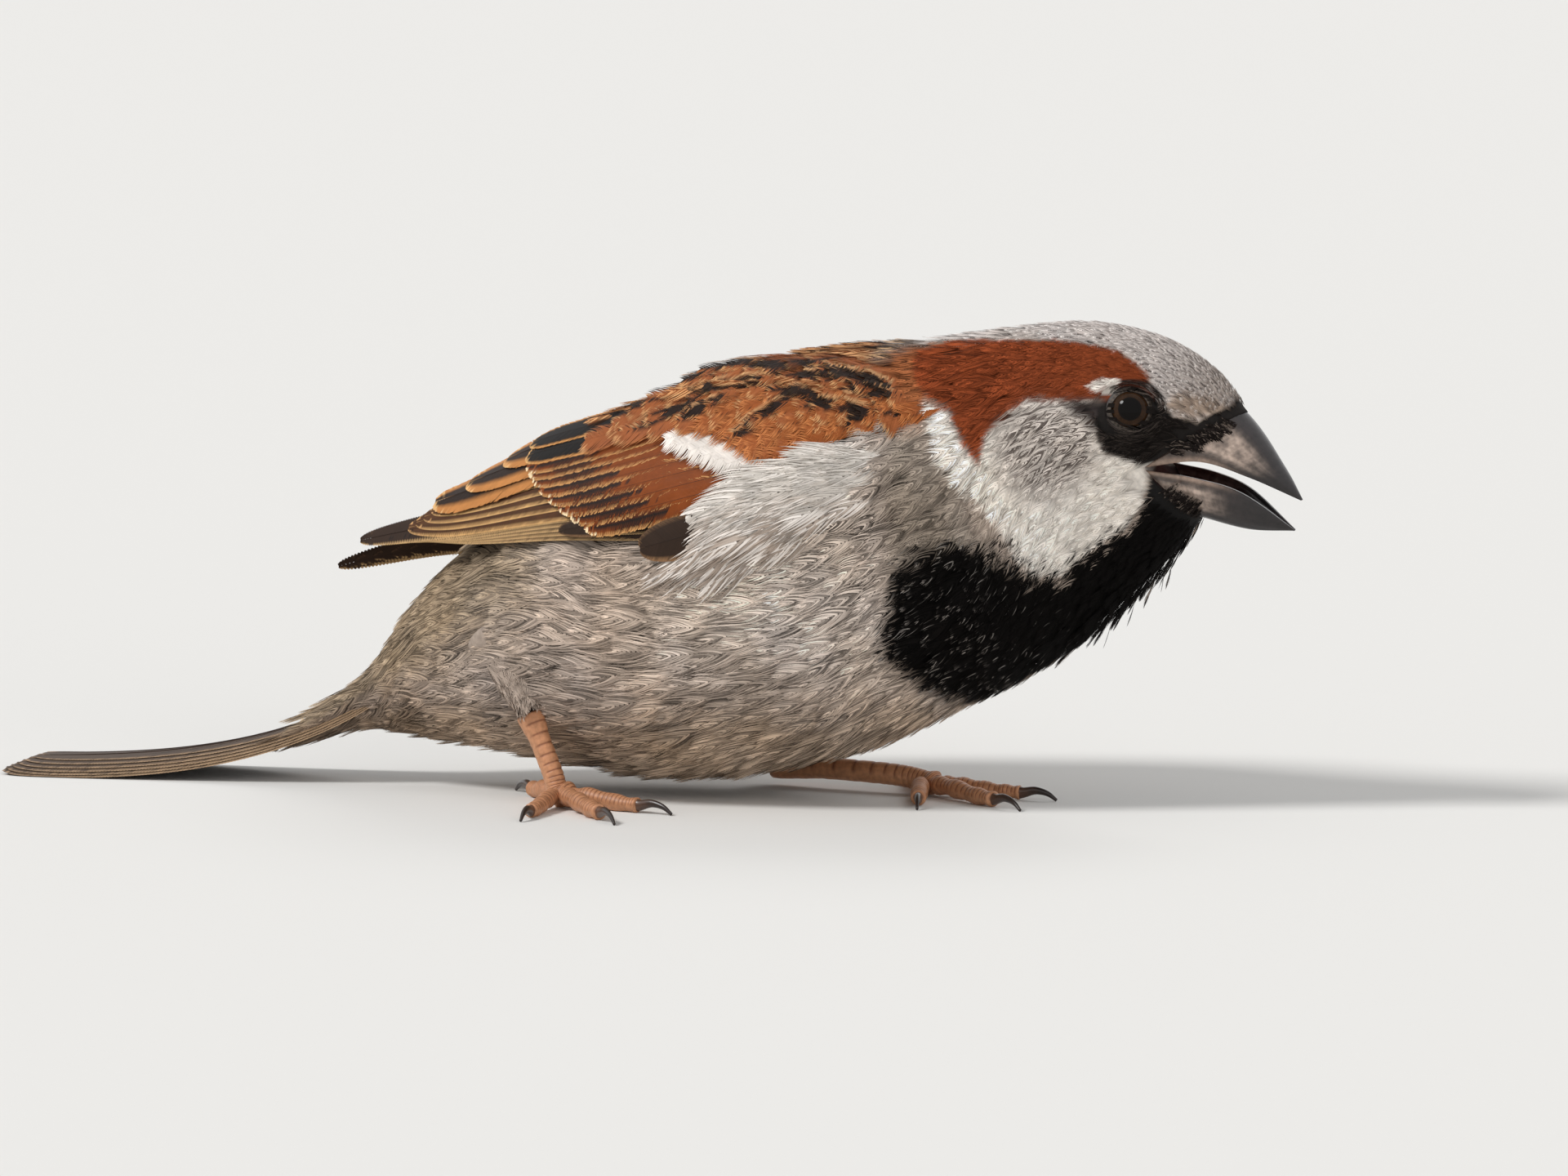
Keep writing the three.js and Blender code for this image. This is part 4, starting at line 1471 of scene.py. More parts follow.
@dataclass
class Body:
    """The skin of head, neck, trunk, rump and thighs, and the contour feathers over it."""

    wings: Sequence[Wing]
    sheet: Sheet = field(default_factory=body_sheet)
    cover: Array = field(init=False)

    RING = (0.0, 1.2, 2.6, 4.0, 5.4, 7.0, 10.0, 13.0)  # stations for the next two rows
    SPACING = (0.7, 0.85, 1.15, 1.45, 2.0, 2.5, 2.3, 1.9)  # between rings of roots
    LENGTH = (2.1, 2.9, 4.2, 6.0, 9.0, 11.0, 10.0, 9.0)  # of the feathers
    WIDTH = 0.24  # half width of a feather against its length
    # Shares u along a wing, and the share v up it from which it hides the body.
    HIDDEN_FROM = (
        (0.0, 0.95), (0.05, 0.8), (0.11, 0.68), (0.17, 0.5), (0.25, 0.38), (0.3, 0.2), (0.36, 0.1),
        (0.5, 0.06), (0.7, 0.04),
    )

    def __post_init__(self) -> None:
        """Works out how far the wings stand out over each place on the body."""
        place = np.stack(grid((0, LAST, 281), (-math.pi, math.pi, 241)), -1)
        places = self.sheet.at(place)
        normals = self.sheet.read(self.sheet.normals, place)
        total = np.zeros(place.shape[:2])
        for wing in self.wings:
            shares = wing.share_at(places)
            u, v = shares[..., 0], shares[..., 1]
            gap = ((wing.sheet.at(wing.place(shares), 1.2) - places) * normals).sum(-1)
            front = smooth(0.4, 0.28, u - 0.045 * smooth(0.4, 0.25, v)) * smooth(-0.4, 0.05, v)
            window = np.maximum(front, smooth(0.72, 0.86, v) * smooth(0.86, 0.7, u))
            window *= smooth(1.12, 0.98, v) * smooth(-0.2, 0.03, u) * smooth(7.0, 5.0, gap)
            beside = wing.edges(u)[1][..., 1]
            window *= smooth(-4.5, -1.5, places[..., 1] * wing.side.value - beside)
            total += np.maximum(gap + 0.35, 0) * window
        soft = total
        for _ in range(40):
            soft = 0.5 * soft + 0.25 * (np.roll(soft, 1, 1) + np.roll(soft, -1, 1))
            soft[1:-1] = 0.5 * soft[1:-1] + 0.25 * (soft[2:] + soft[:-2])
        self.cover = np.maximum(total, soft)[..., None]

    def raised(self, place: Array) -> Array:
        """Extra height that carries a feather over a wing."""
        return self.sheet.read(self.cover, place)[..., 0]

    def under_wing(self, place: Array, margin: float) -> Array:
        """Whether places are hidden by a wing.

        Args:
            place: stations and turns.
            margin: how far inside the wing they have to be, as a share of its height.

        Returns:
            A mask.
        """
        places = self.sheet.at(place)
        hidden = np.zeros(len(place), bool)
        edge = np.array(self.HIDDEN_FROM)
        for wing in self.wings:
            u, v = wing.share_at(places).T
            low = np.interp(u, edge[:, 0], edge[:, 1])
            inside = (v > low + margin) & (v < 0.97 - margin * 0.5) & (u > 0) & (u < 0.93)
            hidden |= inside & (places[:, 1] * wing.side.value > wing.edges(u)[1][..., 1] - 0.5)
        return hidden

    def roots(self, region: Region, seed: int) -> Array:
        """Roots in staggered rings round the body.

        Args:
            region: gives the first and last station and the distance between rings.
            seed: start of the random numbers.

        Returns:
            The station and turn of each root.
        """
        random = np.random.default_rng(seed)
        roots, odd = [], 0.0
        turn = np.linspace(-math.pi, math.pi, 361)
        s, end = region.stations
        while s < end:
            ring = self.sheet.read(self.sheet.places, np.stack([np.full(361, s), turn], -1))
            length = np.concatenate([[0], np.cumsum(np.linalg.norm(np.diff(ring, axis=0), axis=1))])
            spacing = float(np.interp(s, self.RING, self.SPACING)) * region.pace
            count = int(length[-1] / (spacing * 1.12))
            around = (np.arange(count) + odd + random.uniform(-0.3, 0.3, count)) / count
            around = np.interp(around % 1.0 * length[-1], length, turn)
            station = s + random.uniform(-0.35, 0.35, count) * spacing / STATION_MM
            roots.append(np.stack([station, around], -1))
            s += spacing / self.sheet.read(self.sheet.stretch, np.array([s, math.pi / 2]))[0]
            odd = 0.5 - odd
        return np.concatenate(roots)

    def feathers(self, region: Region, seed: int) -> Batch:
        """Lays a region's feathers.

        Args:
            region: the region.
            seed: start of the random numbers.

        Returns:
            The feathers that no wing hides.
        """
        random = np.random.default_rng(seed)
        root = self.roots(region, seed)
        degrees = np.abs(np.degrees(root[:, 1])) + random.normal(0, 1.5, len(root))
        least, most = region.degrees
        keep = ((degrees >= least) | (least == 0)) & (degrees < most)
        places = self.sheet.at(root)
        keep &= bill_room(places) < -0.1
        for side in Side:
            _, flat = from_eye(places, self.sheet, side)
            other_side = places[:, 1] * side.value < EYE[1] - 2
            keep &= (np.linalg.norm(flat, axis=1) > 2.0) | other_side
        root = root[keep & ~self.under_wing(root, 0.06)]
        s, turn, count = root[:, 0], root[:, 1], len(root)
        length = np.interp(s, self.RING, self.LENGTH) * region.stretch * random.normal(1, 0.07, count)
        half = length * self.WIDTH * region.plump * random.normal(1, 0.06, count)
        flow = self.flow(s, turn) + random.normal(0, 0.06, count)
        tip = root + self.sheet.step(root, flow, length)
        depth = coat_depth(root)
        lumps = 0.35 * ripple(s * 3.2, turn * 5.0, 21) * smooth(4.5, 6.0, s)
        beard = smooth(0.5, 1.2, s) * smooth(3.4, 2.0, s) * smooth(2.3, 2.8, np.abs(turn))
        lumps = lumps + beard * random.exponential(0.55, count)
        high = depth * random.normal(0.0, 0.05, count) + 0.1 + lumps
        batch = Batch(self.sheet, root, tip, length, half, -depth, high, seed, self.raised)
        return batch.some(~self.under_wing(tip, 0.03))

    @staticmethod
    def flow(station: Array, turn: Array) -> Array:
        """The feathers' lie: back along the body, drooping on the neck, wandering.

        Args:
            station: place along the body.
            turn: place round it.

        Returns:
            The directions in radians, 0 straight back.
        """
        side = np.sin(turn)
        droop = 0.25 * bell(station - 4.6, 1.0) * side - 0.22 * bell(station - 8.0, 1.8) * side
        droop = droop + 0.4 * bell(station - 3.1, 0.9) * side * np.abs(side)
        return droop + 0.34 * ripple(station * 2.0, turn * 3.0, 5) * smooth(2.5, 5.5, station)

    def dress(self) -> None:
        """Lays the contour feathers, region by region."""
        for number, region in enumerate(REGIONS):
            feather_piece(
                region.name, self.feathers(region, 100 + 10 * number), region.vane, paint_body,
                DOWN, region.slot,
                shaping=lambda places: part_round_eyes(places, self.sheet, LID_OPENING + 0.1, 4.2),
            )

    def flare(self, seed: int) -> None:
        """Long loose feathers of the breast's side that sweep up over the bend of each wing.

        Args:
            seed: start of the random numbers.
        """
        random = np.random.default_rng(seed)
        count = 150
        side = np.repeat([-1.0, 1.0], count)
        lower = np.tile(random.random(count), 2)
        s = 5.0 + 0.6 * lower + np.tile(random.normal(0, 0.3, count), 2)
        degrees = 61.5 + 10.5 * lower + np.tile(random.normal(0, 1.6, count), 2)
        root = np.stack([s, side * np.radians(degrees)], -1)
        length = (7.5 + 5.5 * lower) * random.uniform(0.7, 1.35, 2 * count)
        flow = side * (0.02 + 0.38 * lower + random.normal(0, 0.07, 2 * count))
        tip = root + self.sheet.step(root, flow, length)
        high = random.normal(0.4, 0.2, 2 * count)
        batch = Batch(self.sheet, root, tip, length, length * 0.13, -2.2, high, seed, self.raised)
        feather_piece("coat_breast_side", batch, PLUME_VANE, paint_plume, DOWN, Slot.BODY)

    def bristles(self, seed: int) -> None:
        """Small dark feathers round the root of the bill that point forwards over it.

        Args:
            seed: start of the random numbers.
        """
        random = np.random.default_rng(seed)
        s = random.uniform(-0.2, 2.2, 9000)
        turn = np.radians(random.uniform(42, 165, 9000)) * np.repeat([-1.0, 1.0], 4500)
        root = np.stack([s, turn], -1)
        places = self.sheet.at(root)
        room = bill_room(places)
        gape = np.hypot(places[:, 0] - GAPE[0], places[:, 2] - GAPE[1])
        root = root[(room < -0.1) & (room > -0.9) & (gape > 3.0) & (places[:, 0] > GAPE[0])]
        turn, count = root[:, 1], len(root)
        length = random.uniform(0.8, 2.4, count) * (0.5 + 0.5 * smooth(0.5, 1.0, np.abs(turn)))
        lean = np.where(np.abs(turn) < 1.5, 0.1, 0.25) + random.normal(0, 0.22, count)
        tip = root + self.sheet.step(root, math.pi + np.sign(turn) * lean, length)
        high = random.normal(-0.1, 0.25, count)
        batch = Batch(self.sheet, root, tip, length, length * 0.1, -0.2, high, seed)
        feather_piece("coat_bristles", batch, BRISTLE_VANE, paint_bristle, DOWN, Slot.HEAD)

    def skin(self) -> None:
        """One closed skin inside the coat, with sockets for the eyes and the thighs on it."""
        rows, columns = 300, 200
        turn = (np.arange(columns) / columns * 2 - 1) * math.pi
        steps = np.linspace(0, 3, 301)
        inside = bill_room(body_point(*np.meshgrid(steps, turn, indexing="ij"))) > 0
        last = np.where(inside.any(0), len(steps) - 1 - np.argmax(inside[::-1], axis=0), 0)
        start = steps[last]
        s = start + (TAIL_ROOT - 0.2 - start) * np.linspace(0, 1, rows)[:, None]
        place = np.stack(np.broadcast_arrays(s, turn), -1)
        places = self.sheet.at(place, -coat_depth(place)).reshape(-1, 3)
        for side in Side:
            depth, flat = from_eye(places, self.sheet, side)
            sunk = smooth(2.5, 1.9, np.linalg.norm(flat, axis=1)) * (depth > 0) * 3.0
            places = places - eye_axis(self.sheet, side) * sunk[:, None]
        flat, faces = closed_tube(places.reshape(rows, columns, 3))
        flat[-2] = GAPE[0] - 0.3, 0.0, GAPE[1]
        # The skin takes the plumage's markings, made darker as painted shade under the coat.
        colour = marked(s, place[..., 1], 0 * s).reshape(-1, 3) * 0.85
        parts = [(flat, faces, np.concatenate([colour, MOUTH[None], UMBER[None]]))]
        for thigh in THIGHS.values():
            tube, walls = thigh.tube()
            # The thigh skin is the flank colour made darker: painted shade under its feathers.
            parts.append((tube, walls, np.broadcast_to(FLANK * 0.8, tube.shape)))
        nodes = ("head", "neck", "trunk", "rump", "thigh_right", "thigh_left")
        make_piece("skin", *joined(parts), SKIN, Slot.BODY, nodes)


@dataclass
class Thigh:
    """A feathered thigh, a tapering tube from the flank to the ankle.

    Attributes:
        start: middle of its upper end.
        end: middle of its lower end.
        radii: radius at each end.
    """

    start: Array
    end: Array
    radii: tuple[float, float]
    DEPTH = 0.9

    def rings(self, share: Array, turn: Array, grow: float = 0.0) -> Array:
        """Points on the thigh, whose radius shrinks with the share to the power 0.8.

        Args:
            share: share of the way down it.
            turn: turn round it.
            grow: how far outside it they are.

        Returns:
            The points.
        """
        along = unit(self.end - self.start)
        across = unit(np.cross([0.0, 0.0, 1.0], along))
        above = np.cross(along, across)
        radius = self.radii[0] + (self.radii[1] - self.radii[0]) * np.clip(share, 0, 1.1) ** 0.8 + grow
        centre = self.start + (self.end - self.start) * share[..., None]
        around = across * np.cos(turn)[..., None] + above * np.sin(turn)[..., None]
        return centre + around * radius[..., None]

    def tube(self) -> tuple[Array, Array]:
        """The skin of the thigh as a closed tube."""
        share, turn = np.meshgrid(np.linspace(-0.1, 1, 24), turns(32), indexing="ij")
        return closed_tube(self.rings(share, turn, -self.DEPTH))

    def feathers(self, seed: int) -> Batch:
        """Short feathers that lie down the thigh, in staggered rings.

        Args:
            seed: start of the random numbers.

        Returns:
            The feathers.
        """
        random, rows, columns = np.random.default_rng(seed), 12, 26
        sheet = Sheet.of(self.rings, (-0.2, 1.7, 100), (-math.pi, math.pi, 121), True, -1.0)
        a, b = np.meshgrid(np.linspace(0.2, 0.95, rows), turns(columns) - math.pi, indexing="ij")
        b = b + (np.arange(rows) % 2)[:, None] * math.pi / columns
        root = np.stack([a.ravel(), b.ravel()], -1) + random.normal(0, 0.02, (a.size, 2))
        length = np.linspace(4.6, 2.8, rows).repeat(columns) * random.normal(1, 0.08, a.size)
        tip = root + sheet.step(root, random.normal(0, 0.15, a.size), length)
        high = random.normal(0.05, 0.12, a.size)
        return Batch(sheet, root, tip, length, length * 0.28, -self.DEPTH, high, seed)


THIGHS = {
    Side.RIGHT: Thigh(np.array([-18.5, -11.6, 17.5]), np.array([-14.3, -14.9, 11.6]), (4.6, 1.75)),
    Side.LEFT: Thigh(np.array([9.8, 12.2, 12.0]), np.array([5.9, 12.0, 4.8]), (4.0, 1.8)),
}


def paint_thigh(strands: Strands) -> Array:
    """Brownish grey down, paler at the tips."""
    base = np.broadcast_to(FLANK * 0.8, (len(strands.along), 3))
    return over(base, (FLANK * 1.05, smooth(0.4, 0.9, strands.along))) * speckle(strands, 0.7, 1.15)


def plate(sheet: Sheet, place: Array, heights: tuple[float, float]) -> tuple[Array, Array]:
    """A thin closed plate under a grid of places on a sheet, between two heights."""
    upper, lower = (sheet.at(place, height) for height in heights)
    return closed_tube(np.concatenate([upper, lower[:, ::-1]], axis=1))


# ---- Wings ----

FLIGHT = Vane(110, 5, 0.03, 0.97, 1.7, 0.004, 0.02, 0.0, fullness=1.25, widest=0.5, shaft=0.14)
TERTIAL = Vane(90, 5, 0.04, 0.96, 1.6, 0.006, 0.03, 0.006, fullness=1.3, widest=0.55, shaft=0.12)
COVERT = Vane(70, 5, 0.05, 0.94, 1.6, 0.006, 0.02, 0.01, fullness=1.5, widest=0.6, shaft=0.05)
ALULA = Vane(80, 5, 0.1, 0.96, 1.6, 0.006, 0.05, 0.0, fullness=0.8, widest=0.5, shaft=0.08)
MEDIAN = Vane(34, 4, 0.2, 0.4, 2.2, 0.02, 0.2, 0.05, widest=0.6, arch=1.5, fill=0.55, fray=0.04)
SMALL_COVERT = Vane(
    20, 4, 0.25, 0.3, 2.6, 0.015, 0.15, 0.05, widest=0.6, arch=1.6, fill=0.5, fray=0.08, tilt=0.05,
)

PRIMARY_COLOURS = Pattern(
    UMBER, paint(206, 168, 118), paint(74, 54, 40), 0.9, 0.05, 0.985, 0.01, 1.0, variety=0.05,
)
SECONDARY_COLOURS = Pattern(
    paint(84, 54, 34), paint(218, 172, 114), paint(206, 160, 108), 0.88, 0.06, 0.97, 0.02, 0.9,
    variety=0.06, line=1.0,
)
TERTIAL_COLOURS = Pattern(
    paint(40, 29, 24), paint(190, 128, 72), paint(222, 176, 120), 0.56, 0.1, 0.93, 0.05, variety=0.07,
)
GREATER_COLOURS = Pattern(
    paint(126, 62, 22), paint(214, 160, 100), paint(238, 212, 170), 0.9, 0.05, 0.95, 0.02, 0.0,
    (0.5, 0.97), 0.92, (-0.5, 0.34), variety=0.08, line=0.6,
)
INNER_COLOURS = Pattern(
    BLACK, paint(206, 146, 86), paint(220, 172, 114), 0.8, 0.1, 0.94, 0.03, variety=0.05,
)
MEDIAN_COLOURS = Pattern(
    paint(92, 56, 38), paint(112, 66, 42), paint(238, 229, 220), 0.6, 0.2, 0.36, 0.08,
)
LESSER_COLOURS = Pattern(
    paint(150, 82, 42), paint(172, 100, 54), paint(198, 124, 72), 0.5, 0.3, 0.85, 0.15,
)
SCAPULAR_COLOURS = Pattern(
    paint(154, 88, 50), paint(182, 114, 68), paint(212, 158, 106), 0.8, 0.14, 0.95, 0.04, 0.0,
    (0.5, 0.97), 0.25, variety=0.1,
)
ALULA_COLOURS = Pattern(
    paint(50, 37, 29), paint(138, 104, 74), paint(112, 84, 60), 0.86, 0.08, 0.98, 0.01, 0.6,
    variety=0.08, line=0.5,
)
WING_MM = 70.0  # rough length of a wing, for distances on its sheet
# Black streaks over the shoulder: each a start and an end, as shares u and v of the wing.
STREAKS = np.array([
    [0.35, 0.93, 0.45, 0.80], [0.31, 0.91, 0.37, 0.81], [0.21, 0.86, 0.28, 0.65],
    [0.27, 1.04, 0.41, 0.99], [0.08, 0.81, 0.17, 0.83], [0.16, 0.88, 0.24, 0.95],
    [0.07, 0.84, 0.11, 0.68], [0.44, 1.0, 0.52, 0.96], [0.36, 1.14, 0.50, 1.10],
    [0.14, 1.04, 0.24, 1.08], [0.04, 1.0, 0.12, 0.98], [0.28, 1.22, 0.40, 1.22],
    [0.18, 1.17, 0.29, 1.16], [0.05, 1.1, 0.16, 1.13], [0.40, 1.26, 0.50, 1.22],
])


@dataclass
class WingDress:
    """The feathers and the lining of one wing."""

    wing: Wing

    def tiers(self) -> list[tuple[str, Batch, Vane, Pattern, Slot]]:
        """Every tier of the wing, from the lowest layer to the top one."""
        wing, random = self.wing, np.random.default_rng(7)
        pick = np.arange(6)
        greater_line = np.array([[0.55, 0.2], [0.59, 0.32], [0.625, 0.46], [0.65, 0.62], [0.665, 0.76]])
        greater = spline(greater_line, np.linspace(0, 4, 8))
        median_line = np.array([
            [0.18, 0.42], [0.235, 0.43], [0.29, 0.46], [0.33, 0.52], [0.37, 0.605], [0.41, 0.7],
        ])
        median = spline(median_line, np.linspace(-0.3, 4.7, 11))
        rows = [
            spline(median_line, np.linspace(0.22 * (k % 2) - 1.0, 6.5, 17))
            + np.linspace(back - 0.016, back + 0.016, 17)[:, None] * [-1.0, 0.8]
            for k, back in enumerate(np.linspace(0.04, 0.34, 13))
        ]
        lesser = np.concatenate(rows)
        lesser = lesser + random.normal(0, 0.008, lesser.shape)
        front = np.interp(lesser[:, 0], [0.0, 0.11, 0.17, 0.25, 0.3], [0.8, 0.66, 0.52, 0.42, 0.3])
        lesser = lesser[(lesser[:, 0] > -0.01) & (lesser[:, 1] < 1.0) & (lesser[:, 1] > front)]
        return [
            ("primaries", wing.span(
                np.stack([0 * pick + 0.38, 0.35 - 0.04 * pick], -1),
                np.array([
                    [1.0, 0.4], [0.975, 0.38], [0.95, 0.36], [0.925, 0.34], [0.9, 0.3], [0.87, 0.26],
                ]),
                1.8, -0.2 - 0.06 * pick, 0.1 - 0.06 * pick, 11,
            ), FLIGHT, PRIMARY_COLOURS, Slot.FLIGHT),
            ("secondaries", wing.span(
                np.stack([0 * pick + 0.40, 0.34 + 0.09 * pick], -1),
                np.array([
                    [0.9, 0.44], [0.885, 0.52], [0.87, 0.6], [0.855, 0.68], [0.84, 0.76], [0.82, 0.83],
                ]),
                2.1, -0.2 + 0.04 * pick, 0.1 + 0.07 * pick, 12,
            ), FLIGHT, SECONDARY_COLOURS, Slot.FLIGHT),
            ("tertials", wing.span(
                np.array([[0.42, 0.80], [0.42, 0.88], [0.42, 0.96]]),
                np.array([[0.85, 0.80], [0.79, 0.94], [0.72, 1.05]]),
                3.2, np.array([0.1, 0.2, 0.3]), np.array([0.7, 0.85, 1.0]), 13,
            ), TERTIAL, TERTIAL_COLOURS, Slot.FLIGHT),
            ("alula", wing.span(
                np.array([[0.42, 0.22], [0.27, 0.16], [0.26, 0.30]]),
                np.array([[0.595, 0.165], [0.455, 0.07], [0.355, 0.2]]),
                np.array([1.2, 2.3, 1.5]), np.array([0.2, 0.45, 0.7]), np.array([0.8, 1.0, 1.15]), 14,
            ), ALULA, ALULA_COLOURS, Slot.COVERTS),
            ("greater_coverts", wing.lay(
                greater, 22.0, np.linspace(-7, -6, 8), 2.1, np.linspace(0.2, 0.4, 8),
                np.linspace(0.7, 1.0, 8), 15,
            ), COVERT, GREATER_COLOURS, Slot.COVERTS),
            ("inner_coverts", wing.lay(
                np.array([[0.67, 0.89], [0.67, 1.06]]), 17.0, np.array([-2.0, -5.0]), 2.1,
                0.5, np.array([1.1, 1.25]), 21,
            ), COVERT, INNER_COLOURS, Slot.COVERTS),
            ("median_coverts", wing.lay(
                median, 8.0, -12.0, 1.9, np.linspace(0.5, 0.6, 11),
                np.linspace(1.1, 1.25, 11), 16,
            ), MEDIAN, MEDIAN_COLOURS, Slot.COVERTS),
            ("lesser_coverts", wing.lay(
                lesser, random.normal(6.5, 0.5, len(lesser)), random.normal(-17, 6, len(lesser)), 1.4,
                0.5, random.normal(1.4, 0.05, len(lesser)), 17,
            ), SMALL_COVERT, LESSER_COLOURS, Slot.COVERTS),
            ("scapulars", self.scapulars(random), MEDIAN, SCAPULAR_COLOURS, Slot.COVERTS),
        ]

    def scapulars(self, random: np.random.Generator) -> Batch:
        """Feathers of the shoulder that hang over the wing's upper edge, in six rows.

        Args:
            random: the wing's random numbers.

        Returns:
            The feathers.
        """
        rows = [
            np.stack([np.linspace(0.05, 0.55 - 0.04 * k, 14), np.full(14, 0.78 + 0.08 * k)], -1)
            for k in range(6)
        ]
        tips = np.concatenate(rows) + random.normal(0, 0.012, (84, 2))
        tips[:, 1] -= 0.1 * smooth(0.4, 0.1, tips[:, 0]) * (tips[:, 1] < 0.9)
        height = 1.4 + 0.06 * np.repeat(np.arange(6), 14) + random.normal(0, 0.03, 84)
        length, turn = random.normal(8.5, 0.5, 84), random.normal(-16, 4, 84)
        return self.wing.lay(tips, length, turn, 2.1, 0.5, height, 18)

    def streaked(self, pattern: Pattern) -> Painter:
        """The pattern with the shoulder's black streaks over it.

        A place is black within a lens round a streak's line, 0.85 mm to a side at its middle, and
        buff in a thin line above it. Barbs shift the place along the streak, which frays its ends.

        Args:
            pattern: the pattern below.

        Returns:
            A painter.
        """
        starts = self.wing.place(STREAKS[:, :2]) * [WING_MM, 1]
        ends = self.wing.place(STREAKS[:, 2:]) * [WING_MM, 1]

        def painter(strands: Strands) -> Array:
            """Colours of a batch."""
            here = np.stack([strands.first * WING_MM, strands.second], -1)
            fine, slip = strands.barb - 0.5, 0.5 * (strands.feather - 0.5)
            black, pale = np.zeros(len(here)), np.zeros(len(here))
            for start, end in zip(starts, ends):
                way, size = unit(end - start), np.linalg.norm(end - start)
                along = (here - start) @ way + 2.4 * fine
                aside = (here - start) @ [-way[1], way[0]] + slip + 0.25 * fine
                share = np.clip(along / size, -0.08, 1.08)
                lens = 0.85 * np.sqrt(np.clip(np.sin(math.pi * (share + 0.08) / 1.16), 0, 1)) + 0.02
                black = np.maximum(black, smooth(1.15, 0.85, np.abs(aside) / lens))
                pale = np.maximum(pale, bell(aside - lens - 0.25, 0.22) * smooth(0.1, 0.4, lens))
            return over(
                pattern.paint(strands),
                (paint(230, 188, 136), 0.6 * pale * smooth(0.3, 0.4, strands.feather)),
                (BLACK, 0.97 * black * smooth(0.08, 0.14, strands.feather)),
            )

        return painter

    def dress(self) -> None:
        """Makes the lining and every tier of feathers."""
        name = self.wing.side.name.lower()
        nodes = {
            "primaries": [f"wing_{name}_primaries"], "secondaries": [f"wing_{name}_secondaries"],
            "greater_coverts": [f"wing_{name}_coverts"],
        }
        for tier, batch, vane, pattern, slot in self.tiers():
            shoulder = tier in ("scapulars", "lesser_coverts")
            painter = self.streaked(pattern) if shoulder else pattern.paint
            feather_piece(f"{tier}_{name}", batch, vane, painter, WEB, slot, nodes.get(tier, ()))
        u, v = grid((0.03, 0.84, 70), (0.12, 0.95, 24))
        shares = np.stack([u, 0.45 + (v - 0.45) * smooth(1.2, 0.45, u)], -1)
        flat, faces = plate(self.wing.sheet, self.wing.place(shares), (-0.4, -0.75))
        colour = np.broadcast_to(UMBER, flat.shape)
        make_piece(f"wing_lining_{name}", flat, faces, colour, SKIN, Slot.FLIGHT)


# ---- Tail ----

TAIL_VANE = Vane(
    130, 5, 0.02, 0.97, 1.5, 0.004, 0.02, 0.0, fullness=2.6, widest=0.7, shaft=0.22,
)
TAIL_COLOURS = Pattern(
    paint(70, 56, 46), paint(176, 146, 114), paint(160, 132, 104), 0.9, 0.05, 0.985, 0.015,
    variety=0.05,
)


@dataclass
class Tail:
    """Twelve tail feathers, stacked with the middle pair on top, laid down to the ground."""

    root: tuple[float, float] = (-30.5, 14.9)
    length: float = 52.0
    slopes: tuple[float, float] = (41.0, 1.5)  # degrees at the root and at the tip
    bend: float = 1.75
    half: tuple[float, float] = (4.4, 9.6)
    roof: tuple[float, float] = (20.0, 5.0)
    thick: tuple[float, float] = (2.6, 1.1)
    SPAN = 14.0

    def surface(self, share: Array, across: Array) -> Array:
        """Points on top of the tail, whose slope eases off towards the tip.

        Args:
            share: share of its length.
            across: millimetres across it.

        Returns:
            The points.
        """
        steps = np.linspace(-0.1, 1.06, 600)
        ease = np.clip(1 - steps, 0, 1) ** self.bend
        slope = np.radians(self.slopes[1] + (self.slopes[0] - self.slopes[1]) * ease)
        gap = (steps[1] - steps[0]) * self.length
        x = np.concatenate([[0], np.cumsum(-np.cos(slope[:-1]) * gap)])
        z = np.concatenate([[0], np.cumsum(-np.sin(slope[:-1]) * gap)])
        x += self.root[0] - np.interp(0, steps, x)
        z += self.root[1] - np.interp(0, steps, z)
        here = np.interp(share, steps, slope)
        inside = np.clip(share, 0, 1)
        half = self.half[0] + (self.half[1] - self.half[0]) * inside**0.7
        roof = np.radians(self.roof[0] + (self.roof[1] - self.roof[0]) * inside)
        thick = self.thick[0] + (self.thick[1] - self.thick[0]) * inside
        lift = thick / 2 - half * np.sin(roof) * (across / half) ** 2
        px = np.interp(share, steps, x) - np.sin(here) * lift
        pz = np.interp(share, steps, z) + np.cos(here) * lift
        return np.stack([px, across, pz], -1)

    def dress(self) -> None:
        """Makes the feathers and the plate under them."""
        sheet = Sheet.of(self.surface, (-0.1, 1.05, 231), (-self.SPAN, self.SPAN, 113), outside=-1.0)
        place = np.outer([7.3, 6.6, 5.7, 4.6, 3.2, 1.5], [1, -1]).ravel()
        rank = np.arange(5, -1, -1).repeat(2)
        end = 0.972 + 0.006 * rank
        tip, root = np.stack([end, place], -1), np.stack([0 * end, place * 0.28], -1)
        high = -0.05 - 0.09 * rank
        batch = Batch(sheet, root, tip, self.length * end, 3.2, high - 0.8, high, 31)
        painter = TAIL_COLOURS.paint
        feather_piece("tail_feathers", batch, TAIL_VANE, painter, WEB, Slot.TAIL, ["tail"])
        a, b = grid((0.0, 0.93, 80), (-1, 1, 28))
        half = 3.6 + 5.2 * np.clip(a, 0, 1) ** 0.7
        flat, faces = plate(sheet, np.stack([a, b * half * 0.96], -1), (-0.95, -1.2))
        flat[:, 2] = np.maximum(flat[:, 2], 0.05)
        colour = np.broadcast_to(UMBER, flat.shape)
        make_piece("tail_underside", flat, faces, colour, SKIN, Slot.TAIL)


# ---- Eyes and bill ----


